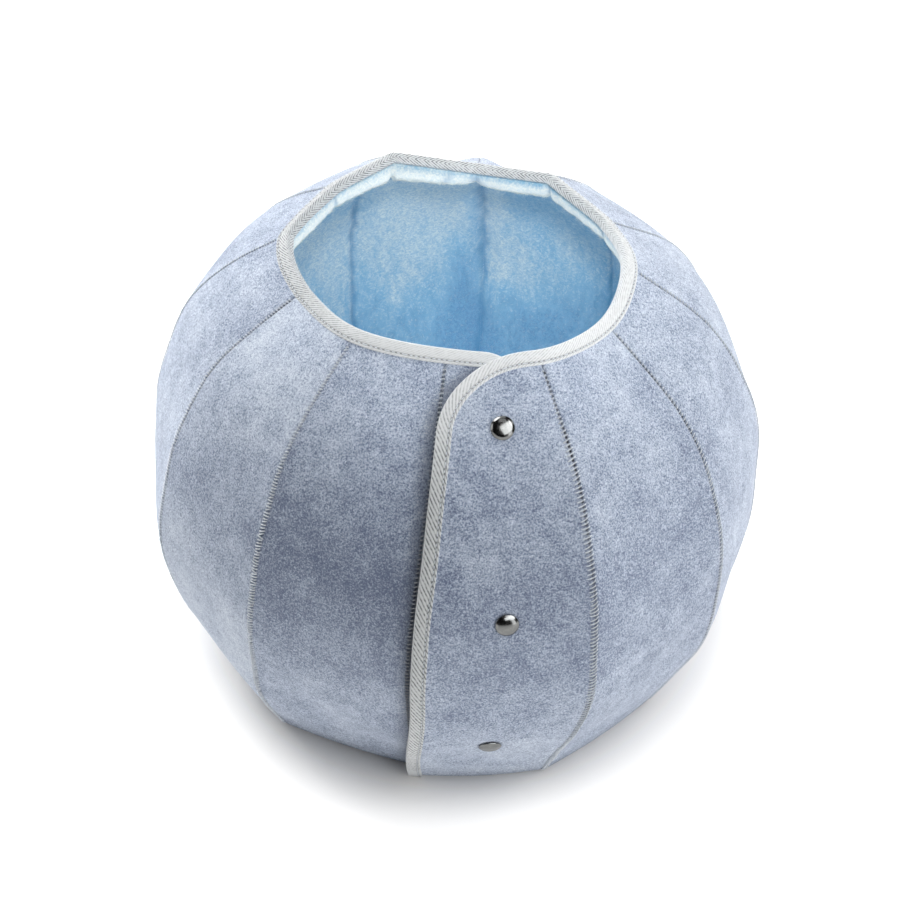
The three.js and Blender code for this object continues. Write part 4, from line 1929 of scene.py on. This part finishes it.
@dataclass
class Threads:
    """Sizes and shades of the threads of one piece."""

    length: Array
    radius: float
    fall: Array  # how steeply the cloth falls away on both sides of the middle, as a tangent
    dip: float  # how far the middle sinks
    # sunk and shade hold painted shade: where the thread dips into the seam, and the flap's painted
    # shadow; shade also holds darker thread at the mouth and wear.
    sunk: Array  # how dark the middle is
    shade: Array  # how dark the whole thread is
    aside: float = 0.0  # how far the thread lies to the right of its middle


@dataclass
class Stitching:
    """Short threads over the seams and along the tape, all copies of one modelled thread."""

    wall: Wall
    finishes: Finishes
    radius: float = 0.36 * MM
    radius_at_dots: float = 0.08 * MM
    fine_radius: float = 0.42 * MM
    lean_spread: float = 0.09
    fine_lean_spread: float = 0.2
    lengths: Pair = (0.78, 1.1)
    dip: float = 0.25 * MM
    dip_width: float = 0.9 * MM
    sunk_width: float = 0.75 * MM
    mouth_rises: Pair = (0.86, 0.9)
    worn_rises: Pair = (0.5, 0.8)
    # Strength of the flap's painted shadow on the threads beside it.
    flap_shadow_strength: float = 0.72
    mouth_shade: float = 0.3
    wear: float = 0.25
    tape_radius: float = 0.24 * MM
    tape_pitch: float = 2.7 * MM
    tape_line: Pair = (6.35 * MM, 0.8 * MM)
    tape_lengths: Pair = (1.9 * MM, 2.2 * MM)
    tape_ends: Pair = (6 * MM, 4 * MM)

    def __post_init__(self) -> None:
        """Models the one thread that is copied."""
        self.rng = np.random.default_rng(23)
        self.thread, self.faces = self._one_thread()

    def _one_thread(self) -> tuple[Array, list[list[int]]]:
        """Returns points and faces of a straight thread of length 1 along X and radius 1."""
        bpy.ops.object.select_all(action="DESELECT")
        bpy.ops.mesh.primitive_cylinder_add(
            vertices=5, radius=1, depth=1, rotation=(0, math.pi / 2, 0), end_fill_type="NGON"
        )
        bpy.ops.object.transform_apply(location=True, rotation=True, scale=True)
        piece = bpy.context.object
        mesh = piece.data
        bpy.ops.object.mode_set(mode="EDIT")
        bpy.ops.mesh.select_all(action="DESELECT")
        bpy.ops.object.mode_set(mode="OBJECT")
        for edge in mesh.edges:
            one, two = (mesh.vertices[i].co for i in edge.vertices)
            edge.select = abs(one.x - two.x) > 0.5
        bpy.ops.object.mode_set(mode="EDIT")
        bpy.ops.mesh.select_mode(type="EDGE")
        bpy.ops.mesh.subdivide(number_cuts=5)
        bpy.ops.object.mode_set(mode="OBJECT")
        points = np.array([v.co[:] for v in mesh.vertices])
        faces = [list(p.vertices) for p in mesh.polygons]
        bpy.data.objects.remove(piece)
        bpy.data.meshes.remove(mesh)
        return points, faces

    def lay(self, name: str, facing: Facing, thread: Threads) -> bpy.types.Object:
        """Copies the thread to many places.

        Args:
            name: The piece's name.
            facing: Middle of each thread; rightward is the way it runs.
            thread: Its sizes and shades.

        Returns:
            One object with all the copies.
        """
        x, y, z = (self.thread[None, :, axis] for axis in range(3))
        thick = thread.radius
        run = x * thread.length[:, None] + thread.aside
        ends = (2 * np.abs(x)) ** 5
        arch = thick * (1.15 - 2.4 * ends) - np.abs(run) * thread.fall[:, None]
        arch = arch - thread.dip * hill(run, self.dip_width) + z * thick * (1 - 0.4 * ends)
        points = (
            facing.points[:, None]
            + facing.rightward[:, None] * run[..., None]
            + facing.upward[:, None] * (y * thick * (1 - 0.4 * ends))[..., None]
            + facing.outward[:, None] * arch[..., None]
        ).reshape(-1, 3)
        count = len(self.thread)
        faces = [
            [corner + copy * count for corner in face]
            for copy in range(len(thread.length))
            for face in self.faces
        ]
        # Painted shade where each thread dips into the seam, and over whole threads.
        dark = np.maximum(thread.sunk[:, None] * hill(run, self.sunk_width), thread.shade[:, None])
        marks = {"sunk": dark}
        piece = make_piece(name, points, faces, self.finishes.thread, marks, crease=60)
        return belongs(piece, Slot.TAPE)

    def seam(self, number: int) -> bpy.types.Object:
        """Sews the ladder stitches of one seam, which grow longer below the mouth.

        Args:
            number: The seam's number.

        Returns:
            The threads, as one piece.
        """
        form = self.wall.form
        at_flap, at_lap = number == 0, number == form.last_seam
        fine_thread = number in form.fine_seams
        fine = np.linspace(form.stitch_foot, float(form.rise_below(form.stitch_top)), 900)
        counted = form.stitch_places(number, fine)
        count = int(round(counted[-1])) + 1
        rise = np.interp(np.arange(count) + self.rng.normal(0, 0.03, count), counted, fine)
        rise = rise[form.from_pucker(form.seam(number, rise)) > form.pucker_width * 1.3]
        count = len(rise)
        facing, stretch = self.wall.mitre(number, rise)
        spread = self.fine_lean_spread if fine_thread else self.lean_spread
        lean = self.rng.normal(form.stitch_lean, spread, count)[:, None]
        facing.rightward = unit(facing.rightward + facing.upward * lean)
        facing.upward = unit(np.cross(facing.outward, facing.rightward))
        length = 2 * form.ladder_half(rise, at_flap) * self.rng.uniform(*self.lengths, count)
        dots = form.dot_depth(number, rise)
        mouth = smoothstep(rise, *self.mouth_rises)
        # The flap's painted shadow over the threads of the seam beside it.
        shade = self.flap_shadow_strength * at_lap * (1 - mouth)
        shade = shade + self.mouth_shade * mouth * (not fine_thread)
        worn = self.rng.uniform(0, self.wear, count) * smoothstep(rise, *self.worn_rises)
        thread = Threads(
            length,
            self.fine_radius if fine_thread else self.radius + self.radius_at_dots * dots.mean(),
            fall=np.sqrt(np.maximum(stretch[:, 0] ** 2 - 1, 0)),
            dip=self.dip,
            sunk=dots * 0.4,
            shade=np.maximum(shade, worn * fine_thread),
            aside=form.flap_stitch_aside if at_flap else 0.0,
        )
        return self.lay(f"seam_stitch_{number + 1:02d}", facing, thread)

    def tape(self, tape: BindingTape) -> bpy.types.Object:
        """Sews the line of stitches along the tape's groove.

        Args:
            tape: The tape.

        Returns:
            The threads, as one piece.
        """
        path = tape.edge
        first, last = self.tape_ends
        places = np.arange(first, path.along[-1] - last, self.tape_pitch)
        at = np.clip(np.searchsorted(path.along, places), 1, len(path.along) - 2)
        line = tape.at(*self.tape_line)
        heading = unit(np.gradient(line, axis=0))[at]
        outward = path.outward[at]
        facing = Facing(line[at], outward, heading, unit(np.cross(outward, heading)))
        length = self.rng.uniform(*self.tape_lengths, len(at))
        plain = np.zeros(len(at))
        thread = Threads(length, self.tape_radius, fall=plain, dip=0, sunk=plain, shade=plain)
        return self.lay("binding_stitch", facing, thread)

    def build_all(self, tape: BindingTape) -> None:
        """Builds the stitches of every seam and of the tape.

        Args:
            tape: The tape.
        """
        for number in range(len(self.wall.form.seams)):
            self.seam(number)
        self.tape(tape)


@dataclass
class SnapCaps:
    """The domed caps of the press snaps."""

    wall: Wall
    finishes: Finishes
    seats: tuple[Pair, ...]
    names: tuple[str, ...] = ("snap_cap_top", "snap_cap_middle", "snap_cap_low")
    radius: float = 7.2 * MM
    height: float = 3.2 * MM
    lip_inset: float = 0.5 * MM
    lip: tuple[Pair, ...] = ((0.35, 0.0), (0.95, 0.0), (1.25, 0.45))
    dome_foot: float = 1.2 * MM
    dome_inset: float = 0.75 * MM
    dome_rings: int = 6
    sunk: float = 0.45 * MM

    def _cap(self, name: str) -> bpy.types.Object:
        """Models a cap at the origin, its dome up: a disc, drawn up ring by ring, with a lip.

        Args:
            name: The piece's name.

        Returns:
            The cap.
        """
        before, low = self.radius - self.lip_inset, 0.0
        bpy.ops.object.select_all(action="DESELECT")
        bpy.ops.mesh.primitive_circle_add(vertices=48, radius=before, fill_type="NGON")
        piece = bpy.context.object
        piece.name = name
        bpy.ops.object.mode_set(mode="EDIT")
        bpy.ops.mesh.select_all(action="SELECT")
        rings = [(level * MM, self.radius - inset * MM) for level, inset in self.lip]
        for step in range(1, self.dome_rings + 1):
            angle = math.pi / 2 * step / (self.dome_rings + 1)
            level = self.dome_foot + (self.height - self.dome_foot) * math.sin(angle)
            rings.append((level, (self.radius - self.dome_inset) * math.cos(angle)))
        for level, radius in rings:
            rise, share = (0, 0, level - low), radius / before
            bpy.ops.mesh.extrude_region_move(TRANSFORM_OT_translate={"value": rise})
            bpy.ops.transform.resize(value=(share, share, 1), center_override=(0, 0, 0))
            before, low = radius, level
        bpy.ops.mesh.poke()
        bpy.ops.mesh.select_all(action="DESELECT")
        bpy.ops.object.mode_set(mode="OBJECT")
        crown = min(piece.data.vertices, key=lambda vertex: vertex.co.xy.length)
        crown.co.z = self.height
        soft = piece.modifiers.new("soft", "SUBSURF")
        soft.levels = soft.render_levels = 1
        pick_only(piece)
        bpy.ops.object.modifier_apply(modifier=soft.name)
        return piece

    def build_all(self) -> None:
        """Builds and seats every cap."""
        form = self.wall.form
        for name, (across, rise) in zip(self.names, self.seats):
            facing = form.facing(self.wall.flap.surface, np.array(across), np.array(rise))
            seat = Vector(facing.points - facing.outward * self.sunk)
            low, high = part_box(name)
            LOG.info("%s is %.1f mm from its node", name, (seat - (low + high) / 2).length / MM)
            turn = Vector(facing.outward).to_track_quat("Z", "Y").to_matrix().to_4x4()
            turn.translation = seat
            cap = self._cap(f"{name}_dome")
            cap.data.transform(turn)
            cap.data.materials.append(self.finishes.snap)
            smooth(cap, 50)
            belongs(cap, Slot.SNAP, name)


@dataclass
class BasePanel:
    """The felt panel that closes the foot."""

    wall: Wall
    finishes: Finishes
    inset: float = 3.4 * MM
    rounding: float = 0.8 * MM
    rings: tuple[float, ...] = (1, 0.93, 0.8, 0.62, 0.42, 0.2)

    def _rim(self) -> Array:
        """Returns the panel's outline inside the wall, anticlockwise, shaped (n, 2)."""
        rims = []
        for gore in [*self.wall.gores, self.wall.underlap]:
            lattice = self.wall.lattice(gore, np.array([0, 0.02]), np.linspace(0, 1, 13))
            grid = lattice.at_depth(np.full(lattice.rise.shape, self.inset), 0)
            rims.append(grid[0] if gore is self.wall.underlap else grid[0][:-1])
        return np.concatenate(rims)[:, :2]

    def _disc(self, rim: Array) -> bpy.types.Object:
        """Fills the outline with rings of faces round its middle.

        Args:
            rim: The outline, shaped (n, 2).

        Returns:
            The flat panel.
        """
        centre = rim.mean(0)
        flat = centre + (rim - centre)[None] * np.array(self.rings)[:, None, None]
        points = np.pad(np.concatenate([centre[None], flat.reshape(-1, 2)]), ((0, 0), (0, 1)))
        count = len(rim)
        side = np.arange(count)
        after = np.roll(side, -1)
        faces = []
        for ring in range(len(self.rings) - 1):
            one = 1 + ring * count
            two = one + count
            faces += np.stack([one + side, one + after, two + after, two + side], axis=1).tolist()
        last = 1 + (len(self.rings) - 1) * count
        faces += np.stack([last + side, last + after, side * 0], axis=1).tolist()
        return plain_piece("base_felt", points, faces, self.finishes.felt)

    def build(self) -> bpy.types.Object:
        """Returns the panel: its outline, filled, thickened and rounded at the edge."""
        low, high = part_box("base_panel")
        rim = self._rim()
        piece = self._disc(rim)
        mesh = piece.data
        pick_only(piece)
        thick = piece.modifiers.new("thick", "SOLIDIFY")
        thick.thickness = high.z - low.z
        thick.offset = 1
        bevel = piece.modifiers.new("rounded", "BEVEL")
        bevel.width = self.rounding
        bevel.segments = 3
        bevel.limit_method = "ANGLE"
        bevel.angle_limit = math.radians(60)
        for modifier in (thick, bevel):
            bpy.ops.object.modifier_apply(modifier=modifier.name)
        add_map(mesh, "seam", np.tile([FAR, 0.0], (len(mesh.vertices), 1)))
        lift = low.z - min(vertex.co.z for vertex in mesh.vertices)
        for vertex in mesh.vertices:
            vertex.co.z += lift
        smooth(piece, 40)
        belongs(piece, Slot.FELT, "base_panel")
        return piece


# ---- Studio ----


@dataclass(frozen=True)
class Lamp:
    """A square lamp: degrees round the bed from its front to its right, and above the floor."""

    name: str
    turn: float
    climb: float
    power: float
    size: float = 1.2


@dataclass
class Studio:
    """Camera, floor and lights."""

    finishes: Finishes
    elevation: float = 44.65
    distance: float = 1800 * MM
    target: Place = (-4.53 * MM, 0, 137.34 * MM)
    lens: float = 110.42
    daylight: float = 0.01
    lamps: tuple[Lamp, ...] = (
        Lamp("low_back_left", 225, 12, 30),
        Lamp("high_back_left", 225, 45, 27.5),
        Lamp("low_left", 270, 12, 8.5),
        Lamp("high_back", 180, 45, 5),
        Lamp("low_back_right", 135, 12, 20),
        Lamp("low_front_right", 45, 12, 12),
        Lamp("front_right", 45, 45, 4),
        Lamp("high_right", 90, 45, 18),
        Lamp("overhead", 0, 88, 4),
    )
    beam_place: Place = (0.04, -1.35, 1.75)
    beam_aim: Place = (18 * MM, 52 * MM, 300 * MM)
    beam_power: float = 112
    beam_angle: float = 9.6
    beam_blend: float = 0.6
    beam_size: float = 0.12
    card: Lamp = Lamp("snap_card", 42, 47, 62, 2.8)
    card_height: float = 1.7
    cabin_power: float = 0.44
    cabin_size: float = 0.05
    cabin_place: Place = (0, -10 * MM, 190 * MM)
    lamp_distance: float = 2.2
    lamps_aim: Place = (0, 0, 150 * MM)
    sky: tuple[float, float, float, float] = (0.97, 0.98, 1.0, 1)

    def camera(self) -> None:
        """Sets the camera in front of and above the bed."""
        angle = math.radians(self.elevation)
        ahead = Vector((0, math.cos(angle), -math.sin(angle)))
        data = bpy.data.cameras.new("view")
        data.lens = self.lens
        data.sensor_width = 36
        data.clip_end = 20
        camera = placed("view", data)
        camera.location = Vector(self.target) - ahead * self.distance
        camera.rotation_euler = ahead.to_track_quat("-Z", "Y").to_euler()
        bpy.context.scene.camera = camera

    def floor(self) -> None:
        """Lays the floor."""
        bpy.ops.object.select_all(action="DESELECT")
        bpy.ops.mesh.primitive_plane_add(size=12, location=(0, 0, 0))
        floor = bpy.context.object
        floor.name = "floor"
        floor.data.materials.append(self.finishes.floor)
        floor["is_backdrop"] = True

    def hang(self, kind: str, name: str, power: float, place: Vector) -> bpy.types.Object:
        """Hangs one lamp.

        Args:
            kind: Blender's name for its kind.
            name: Its name.
            power: Its power.
            place: Its place.

        Returns:
            The lamp.
        """
        data = bpy.data.lights.new(name, kind)
        data.energy = power
        made = placed(name, data)
        made.location = place
        return made

    def lamp(self, lamp: Lamp) -> bpy.types.Object:
        """Hangs one square lamp that faces the bed.

        Args:
            lamp: Its place, power and size.

        Returns:
            The lamp.
        """
        turn, climb = math.radians(lamp.turn), math.radians(lamp.climb)
        level = math.cos(climb)
        way = Vector((math.sin(turn) * level, -math.cos(turn) * level, math.sin(climb)))
        place = Vector(self.lamps_aim) + way * self.lamp_distance
        made = self.hang("AREA", lamp.name, lamp.power, place)
        made.data.size = lamp.size
        made.rotation_euler = (-way).to_track_quat("-Z", "Y").to_euler()
        return made

    def mouth_light(self) -> None:
        """Aims a narrow soft beam through the mouth at the back of the cabin."""
        place = Vector(self.beam_place)
        made = self.hang("SPOT", "mouth_beam", self.beam_power, place)
        made.data.spot_size = math.radians(self.beam_angle)
        made.data.spot_blend = self.beam_blend
        made.data.shadow_soft_size = self.beam_size
        made.visible_glossy = False
        way = Vector(self.beam_aim) - place
        made.rotation_euler = way.to_track_quat("-Z", "Y").to_euler()

    def cabin_light(self) -> None:
        """Hangs a faint soft lamp in the cabin, so that the plush shows its colour."""
        made = self.hang("POINT", "cabin_lamp", self.cabin_power, Vector(self.cabin_place))
        made.data.shadow_soft_size = self.cabin_size
        made.visible_camera = False
        made.visible_glossy = False

    def lights(self) -> None:
        """Sets the soft daylight and the lamps."""
        world = bpy.data.worlds.new("daylight")
        world.use_nodes = True
        background = world.node_tree.nodes["Background"]
        background.inputs["Color"].default_value = self.sky
        background.inputs["Strength"].default_value = self.daylight
        bpy.context.scene.world = world
        for lamp in self.lamps:
            self.lamp(lamp)
        card = self.lamp(self.card)
        card.visible_diffuse = False
        card.data.shape = "RECTANGLE"
        card.data.size_y = self.card_height
        self.mouth_light()
        self.cabin_light()
        bpy.context.scene.view_settings.view_transform = "Standard"

    def build(self) -> None:
        """Builds the studio."""
        self.camera()
        self.floor()
        self.lights()


def corners(box: tuple[Vector, Vector]) -> list[list[float]]:
    """Returns a box's corners as plain lists."""
    return [list(map(float, corner)) for corner in box]


def main() -> None:
    """Builds the bed and its studio, piece by piece."""
    logging.basicConfig(level=logging.INFO, format="%(message)s")
    cad_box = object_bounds()
    finishes = Finishes()
    Studio(finishes).build()
    wall = Wall(BodyForm())
    felt = FeltWall(wall, finishes)
    felt.build_all()
    PlushLining(wall, finishes).build_all()
    tape = BindingTape(wall, finishes)
    tape.build()
    Stitching(wall, finishes).build_all(tape)
    SnapCaps(wall, finishes, felt.snap_seats).build_all()
    BasePanel(wall, finishes).build()
    {"cad": corners(cad_box), "visual": corners(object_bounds())}


if __name__ == "__main__":
    main()
